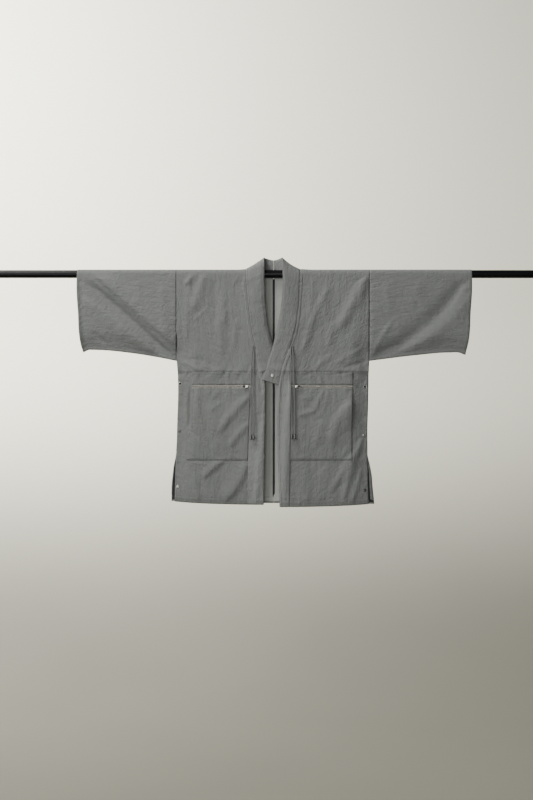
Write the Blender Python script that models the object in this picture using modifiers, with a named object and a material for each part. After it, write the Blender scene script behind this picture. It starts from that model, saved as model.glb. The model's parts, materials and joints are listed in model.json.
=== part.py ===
"""A light grey happi coat hung on a round rod that runs through both sleeves.

Metres, +Z up, +X to the viewer's right, the coat's front towards -Y. The origin is on the rod's axis,
midway between the cuffs. The cloth is made of walls: fronts and backs that fold over the rod,
tube sleeves, a two-piece collar band, patch pockets with a zip, cords and snaps.
"""

import math
from collections import namedtuple

import bmesh
import bpy
from mathutils import Matrix, Vector

# The rod.
ROD_RADIUS = 0.0125
ROD_HALF_LENGTH = 0.870
ROD_SIDES = 48

# Walls and the gaps between pieces.
CLOTH = 0.0015
COLLAR_THICK = 0.0022
PATCH_THICK = 0.0012
SEAM_GAP = 0.0004
LAYER_GAP = 0.0004
ROD_GAP = 0.0004

# The radius at which the cloth's middle surface turns over the rod, and where it does so.
TURN_RADIUS = ROD_RADIUS + ROD_GAP + CLOTH / 2
TURN_STEP = math.radians(20)
SHOULDER_SEAM_ANGLE = math.radians(30)

# The body: half widths at the armholes, and heights below the rod's axis.
ARMHOLE_X = {"left": 0.3035, "right": 0.2938}
CENTRE_BACK_X = -0.0025
UNDERARM_Z = -0.2665
VENT_TOP_Z = -0.560
CLOSING_WIDTH = 0.062
ARMHOLE_CLOSING = 0.092
UNDERARM_HALF_DEPTH = 0.0022
SIDE_SEAM_HALF_DEPTH = 0.00098
SIDE_SEAM_SETTLES = 0.021
RELIEF_FADE = 0.030
ROD_RELIEF_FADE = 0.035

# Half widths of the body's side edges at heights: the side seams, then the vents' two edges.
SIDE_SEAM = {
    "left": [
        (UNDERARM_Z, 0.3035), (-0.300, 0.3005), (-0.350, 0.2988), (-0.410, 0.2998), (-0.460, 0.3018),
        (-0.510, 0.3028), (VENT_TOP_Z, 0.3055),
    ],
    "right": [
        (UNDERARM_Z, 0.2938), (-0.300, 0.2922), (-0.350, 0.2912), (-0.421, 0.2899), (-0.460, 0.2885),
        (VENT_TOP_Z, 0.2885),
    ],
}
VENT_EDGE = {
    "front": {
        "left": [(-0.660, 0.3083), (-0.720, 0.3095)],
        "right": [(-0.720, 0.2915)],
    },
    "back": {
        "left": [(-0.590, 0.3120), (-0.626, 0.3166), (-0.660, 0.3198), (-0.690, 0.3200), (-0.720, 0.3190)],
        "right": [(-0.590, 0.2955), (-0.626, 0.3022), (-0.660, 0.3048), (-0.700, 0.3090), (-0.720, 0.3105)],
    },
}
VENT_HALF_DEPTH = {"front": 0.0045, "back": 0.0070}

# The collar's lower ends, and the pockets' heights: the strip above the zip, the zip, the bag, its mouth.
COLLAR_END_Z = {"left": -0.324, "right": -0.343}
STRIP_TOP_Z = -0.305
ZIP_TOP_Z = -0.343
BAG_TOP_Z = -0.353
MOUTH_BOTTOM_Z = -0.4895
BAG_BOTTOM_Z = -0.576
BAG_BELLY = 0.0035

# The band along each front's inner edge. Its upper rows stay clear of the collar's end.
BAND_START_Z = -0.232
BAND_ROWS_UNDER_COLLAR = 7
BAND_COLLAR_INSET = 0.0016

# The neck.
NECK_LIFT = 0.0016
NECK_LIFT_HALF_WIDTH = 0.115
BACK_NECK_DROP = 0.0235
NECK_ROWS_END = 0.060

# The sleeves.
CUFF_X = [
    (0.020, 0.609), (-0.050, 0.609), (-0.124, 0.6045), (-0.180, 0.602), (-0.217, 0.5975), (-0.245, 0.591),
]
SLEEVE_BOTTOM = {
    "left": [
        (0.3035, UNDERARM_Z), (0.360, -0.2555), (0.450, -0.2415), (0.540, -0.2330), (0.585, -0.2330),
        (0.610, -0.2365),
    ],
    "right": [
        (0.2938, UNDERARM_Z), (0.360, -0.2580), (0.450, -0.2475), (0.540, -0.2405), (0.575, -0.2415),
        (0.590, -0.2470), (0.610, -0.2480),
    ],
}
SLEEVE_STATIONS = [0.0, 0.06, 0.14, 0.23, 0.32, 0.41, 0.50, 0.59, 0.68, 0.77, 0.86, 0.94, 1.0]
SLEEVE_LEVELS = [0.11, 0.22, 0.33, 0.44, 0.55, 0.65, 0.75, 0.85, 0.93, 1.0]
SLEEVE_FOLD_DROP = 0.0024

# Snaps, cords and zips.
SNAP_RADIUS = 0.0047
SNAP_HEIGHT = 0.0018
EYELET_RADIUS = 0.0056
EYELET_HOLE = 0.0036
EYELET_HEIGHT = 0.0011
CORD_DIAMETER = 0.0032
CORD_TIP_RADIUS = 0.0036
CORD_TIP_LENGTH = 0.016
SLIDER_SIZE = Vector((0.0070, 0.0032, 0.0062))
SLIDER_BEVEL = 0.0006
SLIDER_SEAT_RADIUS = 0.0035
EAR_LENGTH = 0.0026
EAR_THICK = 0.0009
EAR_SUNK = 0.0010
EAR_SPREAD = 0.0021
PULL_LENGTH = 0.0125
PULL_WIDTH = 0.0056
PULL_THICK = 0.0012
PULL_NECK_LENGTH = 0.0036
PULL_CORNER = 0.0014
PULL_OVERLAP = 0.0004
PULL_STAND_OFF = 0.0016
BARREL_LENGTH = 0.00197
BAIL_RADIUS = 0.0006
BARREL_RADIUS = 0.00078
TAPE_WIDTH = 0.0065
CENTRE_TAPE_LEVELS = [-0.024, -0.090, -0.190, -0.290, -0.415, -0.487, -0.560, -0.620, -0.685]
HEM_TAPE_SHARES = (0.35, 0.03)
HEM_TAPE_GAP = 0.0008
SEAT_SAMPLES = 8

# A fold is a ridge from one point to another, or a trough where its height is negative. bow is how far
# its middle is carried to the side that faces up and to the left, towards the light. lit and shade are
# how far the cloth slopes on that side and on the other.
Fold = namedtuple("Fold", "x0 z0 x1 z1 bow lit shade height")
UP_AND_LEFT = Vector((-0.35, 0.94))
Look = namedtuple("Look", "colour roughness metallic")

# The largest folds of each panel.
FRONT_FOLDS = {
    "left": [
        Fold(-0.212, -0.008, -0.264, -0.145, 0.000, 0.014, 0.018, 0.0046),
        Fold(-0.175, -0.050, -0.168, -0.260, 0.006, 0.020, 0.022, 0.0030),
        Fold(-0.112, -0.110, -0.126, -0.235, 0.004, 0.014, 0.016, 0.0024),
        Fold(-0.286, -0.268, -0.225, -0.300, 0.000, 0.014, 0.014, 0.0034),
        Fold(-0.078, -0.378, -0.170, -0.484, 0.005, 0.018, 0.018, 0.0046),
        Fold(-0.079, -0.462, -0.140, -0.532, 0.004, 0.016, 0.018, 0.0034),
        Fold(-0.160, -0.578, -0.220, -0.630, 0.004, 0.020, 0.016, 0.0050),
        Fold(-0.085, -0.583, -0.152, -0.700, -0.008, 0.028, 0.018, 0.0062),
        Fold(-0.250, -0.600, -0.236, -0.705, 0.000, 0.018, 0.020, 0.0028),
        Fold(-0.037, -0.455, -0.060, -0.705, -0.004, 0.016, 0.018, 0.0045),
    ],
    "right": [
        Fold(0.290, -0.004, 0.196, -0.170, 0.000, 0.020, 0.022, 0.0068),
        Fold(0.150, -0.078, 0.086, -0.245, 0.010, 0.016, 0.018, 0.0034),
        Fold(0.184, -0.146, 0.162, -0.232, 0.000, 0.014, 0.016, 0.0026),
        Fold(0.262, -0.120, 0.236, -0.240, 0.000, 0.020, 0.022, 0.0024),
        Fold(0.268, -0.232, 0.188, -0.275, 0.000, 0.014, 0.014, 0.0032),
        Fold(0.058, -0.310, 0.030, -0.705, 0.007, 0.018, 0.018, 0.0060),
        Fold(0.242, -0.398, 0.170, -0.525, 0.014, 0.018, 0.030, 0.0052),
        Fold(0.241, -0.558, 0.174, -0.672, 0.000, 0.016, 0.018, 0.0036),
        Fold(0.272, -0.520, 0.212, -0.705, 0.008, 0.016, 0.016, 0.0044),
        Fold(0.150, -0.600, 0.140, -0.705, 0.000, 0.020, 0.022, 0.0024),
    ],
}
BACK_FOLDS = {
    "left": [
        Fold(-0.282, -0.012, -0.170, -0.215, 0.008, 0.022, 0.024, 0.0062),
        Fold(-0.070, -0.100, -0.085, -0.700, 0.006, 0.030, 0.026, 0.0050),
        Fold(-0.190, -0.300, -0.205, -0.705, -0.006, 0.026, 0.030, 0.0060),
    ],
    "right": [
        Fold(0.284, -0.010, 0.176, -0.190, 0.006, 0.020, 0.024, 0.0062),
        Fold(0.080, -0.100, 0.070, -0.700, 0.006, 0.026, 0.030, 0.0050),
        Fold(0.200, -0.280, 0.185, -0.705, 0.000, 0.030, 0.026, 0.0060),
    ],
}
SLEEVE_FOLDS = {
    "left": {
        "front": [
            Fold(-0.600, -0.002, -0.322, -0.258, 0.004, 0.018, 0.040, -0.0062),
            Fold(-0.585, -0.110, -0.470, -0.200, 0.000, 0.035, 0.030, 0.0040),
            Fold(-0.350, -0.030, -0.335, -0.200, 0.000, 0.018, 0.020, 0.0020),
        ],
        "back": [
            Fold(-0.598, -0.010, -0.330, -0.250, -0.012, 0.020, 0.034, -0.0060),
            Fold(-0.570, -0.130, -0.440, -0.212, 0.000, 0.030, 0.030, 0.0034),
        ],
    },
    "right": {
        "front": [
            Fold(0.592, -0.010, 0.321, -0.252, -0.030, 0.028, 0.022, -0.0080),
            Fold(0.606, -0.060, 0.400, -0.236, -0.026, 0.020, 0.030, 0.0034),
        ],
        "back": [
            Fold(0.596, -0.006, 0.326, -0.250, -0.020, 0.024, 0.022, -0.0070),
            Fold(0.590, -0.080, 0.420, -0.215, -0.010, 0.020, 0.028, 0.0030),
        ],
    },
}

# Where the fronts end at the middle: the collar's seam down to the collar's end, then the front edge.
FRONT_EDGE = {
    "left": [
        (0.014, -0.0890), (0.0, -0.0890), (-0.049, -0.0860), (-0.111, -0.0790), (-0.173, -0.0705),
        (-0.218, -0.0611), (-0.345, -0.0305), (-0.390, -0.0305), (-0.720, -0.0350),
    ],
    "right": [
        (0.014, 0.0780), (0.0, 0.0780), (-0.049, 0.0760), (-0.111, 0.0715), (-0.173, 0.0625),
        (-0.218, 0.0500), (-0.262, 0.0347), (-0.299, 0.0229), (-0.343, 0.0140), (-0.390, 0.0110),
        (-0.720, 0.0171),
    ],
}
HEM_Z = {
    "front": {"left": (-0.7127, -0.7034), "right": (-0.7198, -0.7115)},
    "back": {"left": (-0.7090, -0.7015), "right": (-0.7090, -0.7110)},
}

# The seam between the front's inner strip and its main panel, which starts where the cords come out.
BAND_LINE = {
    "left": [
        (0.014, -0.1010), (-0.111, -0.0900), (-0.173, -0.0800), (-0.200, -0.0730), (-0.218, -0.0670),
        (-0.242, -0.0668), (-0.390, -0.0744), (-0.573, -0.0815), (-0.720, -0.0830),
    ],
    "right": [
        (0.014, 0.0890), (-0.111, 0.0820), (-0.173, 0.0720), (-0.200, 0.0620), (-0.218, 0.0560),
        (-0.242, 0.0520), (-0.390, 0.0500), (-0.573, 0.0485), (-0.720, 0.0450),
    ],
}
BAND_COLUMNS = 2

# Shares of the way from that seam to the side: even ones across the pocket, up to its mouth, then those
# beyond it. On the left the pocket's lower corner goes one column further than its mouth.
POCKET_COLUMNS = 9
MOUTH_SHARE = {"left": 0.803, "right": 0.796}
COLUMNS_BEYOND = {"left": [0.845, 0.925, 1.0], "right": [0.860, 0.935, 1.0]}
FRONT_COLUMNS = {
    side: [share * k / POCKET_COLUMNS for k in range(1, POCKET_COLUMNS + 1)] + COLUMNS_BEYOND[side]
    for side, share in MOUTH_SHARE.items()
}
MOUTH_COLUMN = BAND_COLUMNS + POCKET_COLUMNS
BAG_BOTTOM_COLUMN = {"left": MOUTH_COLUMN + 1, "right": MOUTH_COLUMN}
FRONT_LEVELS = [
    -0.020, -0.045, -0.070, -0.098, -0.126, -0.154, -0.180, -0.206, BAND_START_Z, UNDERARM_Z, -0.283,
    STRIP_TOP_Z, -0.324, ZIP_TOP_Z, BAG_TOP_Z, -0.380, -0.408, -0.435, -0.462, MOUTH_BOTTOM_Z, -0.5185,
    -0.545, BAG_BOTTOM_Z,
]
SKIRT_SHARES = [0.25, 0.5, 0.75, 1.0]

# The back has columns across half its neck, then at these shares of the way on to the side.
NECK_COLUMNS = 5
BACK_COLUMNS = [0.14, 0.31, 0.48, 0.65, 0.79, 0.90, 1.0]
BACK_LEVELS = [-0.090, -0.140, -0.190, -0.230, UNDERARM_Z, -0.290, -0.345, -0.415, -0.487, VENT_TOP_Z]

# How far each pocket's mouth stands off the front.
MOUTH_GAPE = {"left": 0.0026, "right": 0.0034}

# The collar's free edge at distances along its seam from the centre back.
Edge = namedtuple("Edge", "along x y z")
COLLAR_EDGE = {
    "left": [
        Edge(0.000, -0.0028, 0.0265, 0.0440),
        Edge(0.022, -0.0165, 0.0260, 0.0475),
        Edge(0.045, -0.0265, 0.0215, 0.0500),
        Edge(0.070, -0.0310, 0.0130, 0.0505),
        Edge(0.093, -0.0318, 0.0030, 0.0500),
        Edge(0.103, -0.0322, -0.0085, 0.0455),
        Edge(0.114, -0.0325, -0.0175, 0.0330),
        Edge(0.126, -0.0326, -0.0225, 0.0120),
        Edge(0.156, -0.0326, -0.0235, -0.0200),
        Edge(0.197, -0.0308, -0.0210, -0.0680),
        Edge(0.237, -0.0279, -0.0175, -0.1120),
        Edge(0.297, -0.0186, -0.0130, -0.1730),
        Edge(0.343, -0.0075, -0.0120, -0.2160),
        Edge(0.410, 0.0075, -0.0115, -0.2760),
        Edge(0.450, 0.0140, -0.0115, -0.3120),
    ],
    "right": [
        Edge(0.000, -0.0022, 0.0265, 0.0440),
        Edge(0.022, 0.0105, 0.0260, 0.0475),
        Edge(0.042, 0.0185, 0.0215, 0.0505),
        Edge(0.062, 0.0225, 0.0130, 0.0510),
        Edge(0.084, 0.0240, 0.0030, 0.0505),
        Edge(0.094, 0.0243, -0.0085, 0.0455),
        Edge(0.105, 0.0250, -0.0180, 0.0330),
        Edge(0.117, 0.0258, -0.0235, 0.0120),
        Edge(0.147, 0.0264, -0.0250, -0.0200),
        Edge(0.188, 0.0240, -0.0245, -0.0680),
        Edge(0.228, 0.0195, -0.0235, -0.1110),
        Edge(0.289, 0.0073, -0.0215, -0.1730),
        Edge(0.336, -0.0027, -0.0205, -0.2165),
        Edge(0.404, -0.0215, -0.0200, -0.2760),
        Edge(0.465, -0.0395, -0.0200, -0.3265),
    ],
}
COLLAR_COLUMNS = 4

# The collar's middle is hollow behind the neck and rounded out in front, with a change between two
# distances along its seam.
COLLAR_HOLLOW = 0.0015
COLLAR_CROWN = 0.0025
CROWN_SPAN = (0.080, 0.140)

# The right front's middle is carried forward over the collar's end on the left.
OVERLAP_LIFT = 0.0040
OVERLAP_LIFT_WIDTH = 0.060

# Cord routes, from where they leave the collar's seam down to their metal ends.
CORD_ROUTES = {
    "left_a": [
        (-0.0668, -0.0184, -0.222), (-0.0702, -0.0244, -0.262), (-0.0722, -0.0244, -0.330),
        (-0.0735, -0.0251, -0.420), (-0.0730, -0.0262, -0.495),
    ],
    "left_b": [
        (-0.0622, -0.0184, -0.222), (-0.0640, -0.0244, -0.262), (-0.0646, -0.0244, -0.330),
        (-0.0642, -0.0261, -0.420), (-0.0648, -0.0287, -0.495),
    ],
    "right_a": [
        (0.0502, -0.0224, -0.222), (0.0496, -0.0278, -0.262), (0.0500, -0.0261, -0.330),
        (0.0515, -0.0298, -0.420), (0.0522, -0.0289, -0.494),
    ],
    "right_b": [
        (0.0548, -0.0223, -0.222), (0.0578, -0.0271, -0.262), (0.0604, -0.0251, -0.330),
        (0.0620, -0.0266, -0.420), (0.0625, -0.0262, -0.494),
    ],
}
CORD_STEPS = 9

# Snaps and eyelets: how far in from the side edge, and at which heights.
EYELETS = {"left": (0.0068, -0.340), "right": (0.0112, -0.349)}
SIDE_SNAPS = {"left": (0.0085, (-0.486, -0.658)), "right": (0.0112, (-0.499, -0.669))}
VENT_SOCKET_INSET = 0.0075
COLLAR_SNAP = (-0.0063, -0.3139)
SLIDER_FROM_INNER_END = {"left": 0.0141, "right": 0.0162}

LOOKS = {
    "cloth": Look((0.215, 0.222, 0.215), 0.72, 0.0),
    "binding": Look((0.030, 0.031, 0.032), 0.80, 0.0),
    "zip_tape": Look((0.480, 0.450, 0.410), 0.75, 0.0),
    "metal": Look((0.720, 0.690, 0.640), 0.28, 1.0),
    "black_metal": Look((0.020, 0.020, 0.020), 0.35, 0.6),
    "cord": Look((0.200, 0.205, 0.198), 0.85, 0.0),
    "rod": Look((0.012, 0.012, 0.013), 0.30, 0.4),
}
SIGN = {"left": -1.0, "right": 1.0}
FACING = {"front": -1.0, "back": 1.0}


def smoothstep(t):
    """0 below 0, 1 above 1, and an even S-shaped rise between."""
    t = min(max(t, 0.0), 1.0)
    return t * t * (3.0 - 2.0 * t)


def lookup(table, at):
    """The value at a height in a table of (height, value) rows that runs downwards or upwards."""
    rows = sorted(table)
    if at <= rows[0][0]:
        return rows[0][1]
    for (low, a), (high, b) in zip(rows, rows[1:]):
        if at <= high:
            return a + (b - a) * (at - low) / (high - low)
    return rows[-1][1]


def fold_relief(folds, x, z):
    """How far the folds of a panel push its surface out at a place."""
    total = 0.0
    for fold in folds:
        along = Vector((fold.x1 - fold.x0, fold.z1 - fold.z0))
        here = Vector((x - fold.x0, z - fold.z0))
        share = here.dot(along) / along.length_squared
        across = Vector((-along.y, along.x)) / along.length
        if across.dot(UP_AND_LEFT) < 0:
            across.negate()
        inner = min(max(share, 0.0), 1.0)
        off = here.dot(across) - fold.bow * 4 * inner * (1 - inner)
        spread = fold.lit if off > 0 else fold.shade
        reach = smoothstep((share + 0.12) / 0.3) * smoothstep((1.12 - share) / 0.3)
        total += fold.height * math.exp(-((off / spread) ** 2)) * reach
    return total


def side_edge(face, side, z):
    """The half width of the body at a height."""
    return lookup(SIDE_SEAM[side] + VENT_EDGE[face][side], z)


def edge_half_depth(face, z):
    """Half the distance between front and back along the armhole, the side seam and the vent."""
    closing = smoothstep((UNDERARM_Z + ARMHOLE_CLOSING - z) / ARMHOLE_CLOSING)
    depth = TURN_RADIUS + (UNDERARM_HALF_DEPTH - TURN_RADIUS) * closing
    settled = smoothstep((UNDERARM_Z - z) / SIDE_SEAM_SETTLES)
    depth += (SIDE_SEAM_HALF_DEPTH - UNDERARM_HALF_DEPTH) * settled
    opened = smoothstep((VENT_TOP_Z - z) / (VENT_TOP_Z - HEM_Z["front"]["left"][0]))
    return depth + (VENT_HALF_DEPTH[face] - SIDE_SEAM_HALF_DEPTH) * opened


def neck_lift(x):
    """How far the collar holds the cloth off the rod near the neck."""
    return NECK_LIFT * (1.0 - smoothstep((abs(x) - 0.085) / (NECK_LIFT_HALF_WIDTH - 0.085)))


def overlap_lift(side, x, z):
    """How far the right front's middle stands forward of the left one's."""
    if side == "left":
        return 0.0
    past_edge = x - lookup(FRONT_EDGE[side], z)
    near = 1.0 - smoothstep(past_edge / OVERLAP_LIFT_WIDTH)
    level = smoothstep((-0.090 - z) / 0.080) * (1.0 - smoothstep((-0.400 - z) / 0.120))
    return OVERLAP_LIFT * near * level


def body_depth(face, side, x, z):
    """How far the body's middle surface hangs in front of, or behind, the rod's axis."""
    width = side_edge(face, side, z)
    closing = smoothstep((abs(x) - width + CLOSING_WIDTH) / CLOSING_WIDTH)
    full = TURN_RADIUS + neck_lift(x)
    edge = edge_half_depth(face, z)
    folds = (FRONT_FOLDS if face == "front" else BACK_FOLDS)[side]
    seam_fade = smoothstep((width - abs(x)) / RELIEF_FADE)
    if z < VENT_TOP_Z:
        seam_fade += (1.0 - seam_fade) * 0.5 * smoothstep((VENT_TOP_Z - z) / 0.1)
    relief = fold_relief(folds, x, z) * seam_fade * smoothstep(-z / ROD_RELIEF_FADE)
    depth = full + (edge - full) * closing + relief
    return depth + (overlap_lift(side, x, z) if face == "front" else 0.0)


def turned(face, x, angle):
    """A point on the turn over the rod; the angle is from the top, towards the face's own side."""
    radius = TURN_RADIUS + neck_lift(x)
    return Vector((x, FACING[face] * radius * math.sin(angle), radius * math.cos(angle)))


def hanging(face, side, x, z):
    """A point on the body below the rod's axis."""
    return Vector((x, FACING[face] * body_depth(face, side, x, z), z))


def hem_height(face, side, share):
    """The hem's height at a share of the half width, from the middle out."""
    middle, edge = HEM_Z[face][side]
    return middle + (edge - middle) * share ** 2.5


def front_x(side, column, z):
    """Where a column of a front lies at a height: the edge, the band's seam, then on to the side."""
    edge = lookup(FRONT_EDGE[side], z)
    band = lookup(BAND_LINE[side], z)
    if column <= BAND_COLUMNS:
        return edge + (band - edge) * column / BAND_COLUMNS
    outer = SIGN[side] * (side_edge("front", side, z) - (SEAM_GAP / 2 if z > UNDERARM_Z - 0.001 else 0.0))
    return band + (outer - band) * FRONT_COLUMNS[side][column - BAND_COLUMNS - 1]


def front_rows(side):
    """The middle surface of a front: rows from the shoulder seam down to the hem."""
    columns = range(BAND_COLUMNS + 1 + len(FRONT_COLUMNS[side]))
    rows = []
    turn = -SHOULDER_SEAM_ANGLE + SEAM_GAP / 2 / TURN_RADIUS
    while turn < math.pi / 2 - TURN_STEP / 2:
        height = TURN_RADIUS * math.cos(turn)
        rows.append([turned("front", front_x(side, column, height), turn) for column in columns])
        turn += TURN_STEP
    for z in [0.0] + FRONT_LEVELS:
        rows.append([hanging("front", side, front_x(side, column, z), z) for column in columns])
    for share in SKIRT_SHARES:
        row = []
        for column in columns:
            across = abs(front_x(side, column, BAG_BOTTOM_Z)) / side_edge("front", side, BAG_BOTTOM_Z)
            z = BAG_BOTTOM_Z + (hem_height("front", side, across) - BAG_BOTTOM_Z) * share
            row.append(hanging("front", side, front_x(side, column, z), z))
        rows.append(row)
    return rows


def neckline_drop(x):
    """How far down the cloth the back neckline lies from the top of the rod."""
    shoulder = SHOULDER_SEAM_ANGLE * TURN_RADIUS
    half_width = abs(lookup(FRONT_EDGE["left" if x < CENTRE_BACK_X else "right"], 0.014) - CENTRE_BACK_X)
    out = smoothstep((abs(x - CENTRE_BACK_X) / half_width - 0.30) / 0.70)
    return BACK_NECK_DROP + (shoulder - BACK_NECK_DROP) * out


def back_surface(side, x, drop):
    """A point on the back at a distance down the cloth from the top of the rod."""
    turn_length = TURN_RADIUS * math.pi / 2
    if drop < turn_length:
        return turned("back", x, drop / TURN_RADIUS)
    return hanging("back", side, x, turn_length - drop)


def back_x(side, column, outer):
    """Where a column of a back lies, given its outer edge: across half the neck, then to the side."""
    inner = CENTRE_BACK_X + SIGN[side] * SEAM_GAP / 2
    neck = lookup(FRONT_EDGE[side], 0.014)
    if column <= NECK_COLUMNS:
        return inner + (neck - inner) * column / NECK_COLUMNS
    return neck + (SIGN[side] * outer - neck) * BACK_COLUMNS[column - NECK_COLUMNS - 1]


def back_rows(side):
    """The middle surface of a back: rows from the neckline and shoulder seam down to the hem."""
    columns = range(NECK_COLUMNS + 1 + len(BACK_COLUMNS))
    first = SHOULDER_SEAM_ANGLE * TURN_RADIUS
    turn_length = TURN_RADIUS * math.pi / 2
    drops = [first + (turn_length - first) * k / 3 for k in range(4)] + [0.038, NECK_ROWS_END]
    rows = []
    for drop in drops:
        points = []
        for column in columns:
            x = back_x(side, column, ARMHOLE_X[side] - SEAM_GAP / 2)
            start = neckline_drop(x)
            moved = drop + (start - first) * (NECK_ROWS_END - drop) / (NECK_ROWS_END - first)
            points.append(back_surface(side, x, moved + SEAM_GAP / 2))
        rows.append(points)
    for z in BACK_LEVELS:
        outer = side_edge("back", side, z) - (SEAM_GAP / 2 if z > UNDERARM_Z - 0.001 else 0.0)
        rows.append([hanging("back", side, back_x(side, column, outer), z) for column in columns])
    for share in SKIRT_SHARES:
        points = []
        vent_top = side_edge("back", side, VENT_TOP_Z)
        for column in columns:
            across = abs(back_x(side, column, vent_top)) / vent_top
            z = VENT_TOP_Z + (hem_height("back", side, across) - VENT_TOP_Z) * share
            points.append(hanging("back", side, back_x(side, column, side_edge("back", side, z)), z))
        rows.append(points)
    return rows


def sleeve_depth(side, face, x, z, bottom, share):
    """How far one face of the sleeve stands from its middle at a place on it."""
    closing = smoothstep((bottom + ARMHOLE_CLOSING - z) / ARMHOLE_CLOSING)
    depth = TURN_RADIUS + (UNDERARM_HALF_DEPTH - TURN_RADIUS) * closing
    level = smoothstep(-z / ROD_RELIEF_FADE) * smoothstep((z - bottom) / 0.05)
    cuff_flare = 0.0030 * smoothstep((share - 0.6) / 0.4)
    relief = (fold_relief(SLEEVE_FOLDS[side][face], x, z) + cuff_flare) * level
    depth += relief * smoothstep((abs(x) - ARMHOLE_X[side]) / RELIEF_FADE)
    return max(depth, UNDERARM_HALF_DEPTH)


def sleeve_rings(side):
    """The rings of a sleeve, each from the underarm fold up the front, over the rod and down the back."""
    sign = SIGN[side]
    start = ARMHOLE_X[side] + SEAM_GAP / 2
    turn_count = round(math.pi / TURN_STEP)
    rings = []
    for share in SLEEVE_STATIONS:
        def across(z):
            return start + (lookup(CUFF_X, z) - start) * share

        def at(level, face):
            bottom = lookup(SLEEVE_BOTTOM[side], across(-0.24))
            z = bottom * level
            x = sign * across(z)
            return Vector((x, FACING[face] * sleeve_depth(side, face, x, z, bottom, share), z))

        lowest = at(1.0, "front")
        ring = [Vector((lowest.x, 0.0, lowest.z - SLEEVE_FOLD_DROP))]
        ring += [at(level, "front") for level in reversed(SLEEVE_LEVELS)]
        for step in range(turn_count + 1):
            angle = math.pi / 2 - math.pi * step / turn_count
            height = TURN_RADIUS * math.cos(angle)
            ring.append(Vector((sign * across(height), -TURN_RADIUS * math.sin(angle), height)))
        ring += [at(level, "back") for level in SLEEVE_LEVELS]
        rings.append(ring)
    return rings


def spline(keys, count):
    """Points along a smooth curve through the keys, count of them between each pair."""
    points = []
    padded = [keys[0] * 2 - keys[1]] + keys + [keys[-1] * 2 - keys[-2]]
    for before, a, b, after in zip(padded, padded[1:], padded[2:], padded[3:]):
        for step in range(count):
            t = step / count
            points.append(
                0.5 * (2 * a + (b - before) * t + (2 * before - 5 * a + 4 * b - after) * t ** 2
                       + (3 * a - before - 3 * b + after) * t ** 3)
            )
    points.append(keys[-1].copy())
    return points


def smooth_edge(table, along):
    """A point of the collar's free edge, on a smooth curve through the table's rows."""
    last = len(table) - 1
    k = max(i for i in range(last) if i == 0 or table[i].along <= along)
    a, b = table[k], table[k + 1]
    before, after = table[max(k - 1, 0)], table[min(k + 2, last)]
    length = b.along - a.along
    t = (along - a.along) / length
    start, end = Vector(a[1:]), Vector(b[1:])
    leave = (end - Vector(before[1:])) / (b.along - before.along) * length
    arrive = (Vector(after[1:]) - start) / (after.along - a.along) * length
    return (
        start * (2 * t ** 3 - 3 * t ** 2 + 1) + leave * (t ** 3 - 2 * t ** 2 + t)
        + end * (3 * t ** 2 - 2 * t ** 3) + arrive * (t ** 3 - t ** 2)
    )


def collar_seam(side):
    """The body's edge that the collar is sewn to: points, each with the point of the cloth inside it."""
    back = back_rows(side)
    seam = [(back[0][column], back[1][column]) for column in range(NECK_COLUMNS)]
    for row in front_rows(side):
        if row[0].z > COLLAR_END_Z[side] - 0.001:
            seam.append((row[0], row[1]))
    return seam


def collar_crown(along):
    """How far the collar's middle stands out at a distance along its seam."""
    starts, full = CROWN_SPAN
    return (COLLAR_CROWN + COLLAR_HOLLOW) * smoothstep((along - starts) / (full - starts)) - COLLAR_HOLLOW


def collar_rows(side):
    """The middle surface of a collar half: rows across the band, from the centre back to its end."""
    rows = []
    crowns = []
    along = 0.0
    before = None
    for seam, inside in collar_seam(side):
        along += (seam - before).length if before else 0.0
        before = seam
        away = (seam - inside).normalized()
        edge = smooth_edge(COLLAR_EDGE[side], along)
        lean = (edge - seam).normalized().dot(away)
        clear = SEAM_GAP + COLLAR_THICK / 2 * math.sqrt(max(1.0 - lean * lean, 0.0))
        start = seam + away * clear
        rows.append([start.lerp(edge, k / COLLAR_COLUMNS) for k in range(COLLAR_COLUMNS + 1)])
        crowns.append(collar_crown(along))
    normals = surface_normals(rows)
    for row, row_normals, crown in zip(rows, normals, crowns):
        for k in range(COLLAR_COLUMNS + 1):
            share = k / COLLAR_COLUMNS
            row[k] += row_normals[k] * crown * 4 * share * (1 - share) * SIGN[side]
    return rows


def surface_normals(rows):
    """Unit normals of a grid of points, from its neighbours along and across."""
    normals = []
    last_row, last_column = len(rows) - 1, len(rows[0]) - 1
    for i, row in enumerate(rows):
        line = []
        for j in range(len(row)):
            down = rows[min(i + 1, last_row)][j] - rows[max(i - 1, 0)][j]
            along = row[min(j + 1, last_column)] - row[max(j - 1, 0)]
            line.append(along.cross(down).normalized())
        normals.append(line)
    return normals


def outward(rows, side, face="front"):
    """The grid's normals, turned away from the rod."""
    flip = SIGN[side] * FACING[face]
    return [[normal * flip for normal in line] for line in surface_normals(rows)]


def moved_out(rows, normals, distance):
    """The grid moved along its normals, by one distance or by one for each point."""
    out = []
    for i, row in enumerate(rows):
        far = [distance(i, j) if callable(distance) else distance for j in range(len(row))]
        out.append([point + normals[i][j] * far[j] for j, point in enumerate(row)])
    return out


def patch(rows, row_span, column_span):
    """The part of a grid between two rows and two columns, both included."""
    return [row[column_span[0]:column_span[1] + 1] for row in rows[row_span[0]:row_span[1] + 1]]


def material(name):
    """The named look as a material, made once."""
    found = bpy.data.materials.get(name)
    if found:
        return found
    look = LOOKS[name]
    made = bpy.data.materials.new(name)
    made.use_nodes = True
    shader = made.node_tree.nodes["Principled BSDF"]
    shader.inputs["Base Color"].default_value = (*look.colour, 1.0)
    shader.inputs["Roughness"].default_value = look.roughness
    shader.inputs["Metallic"].default_value = look.metallic
    return made


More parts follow.
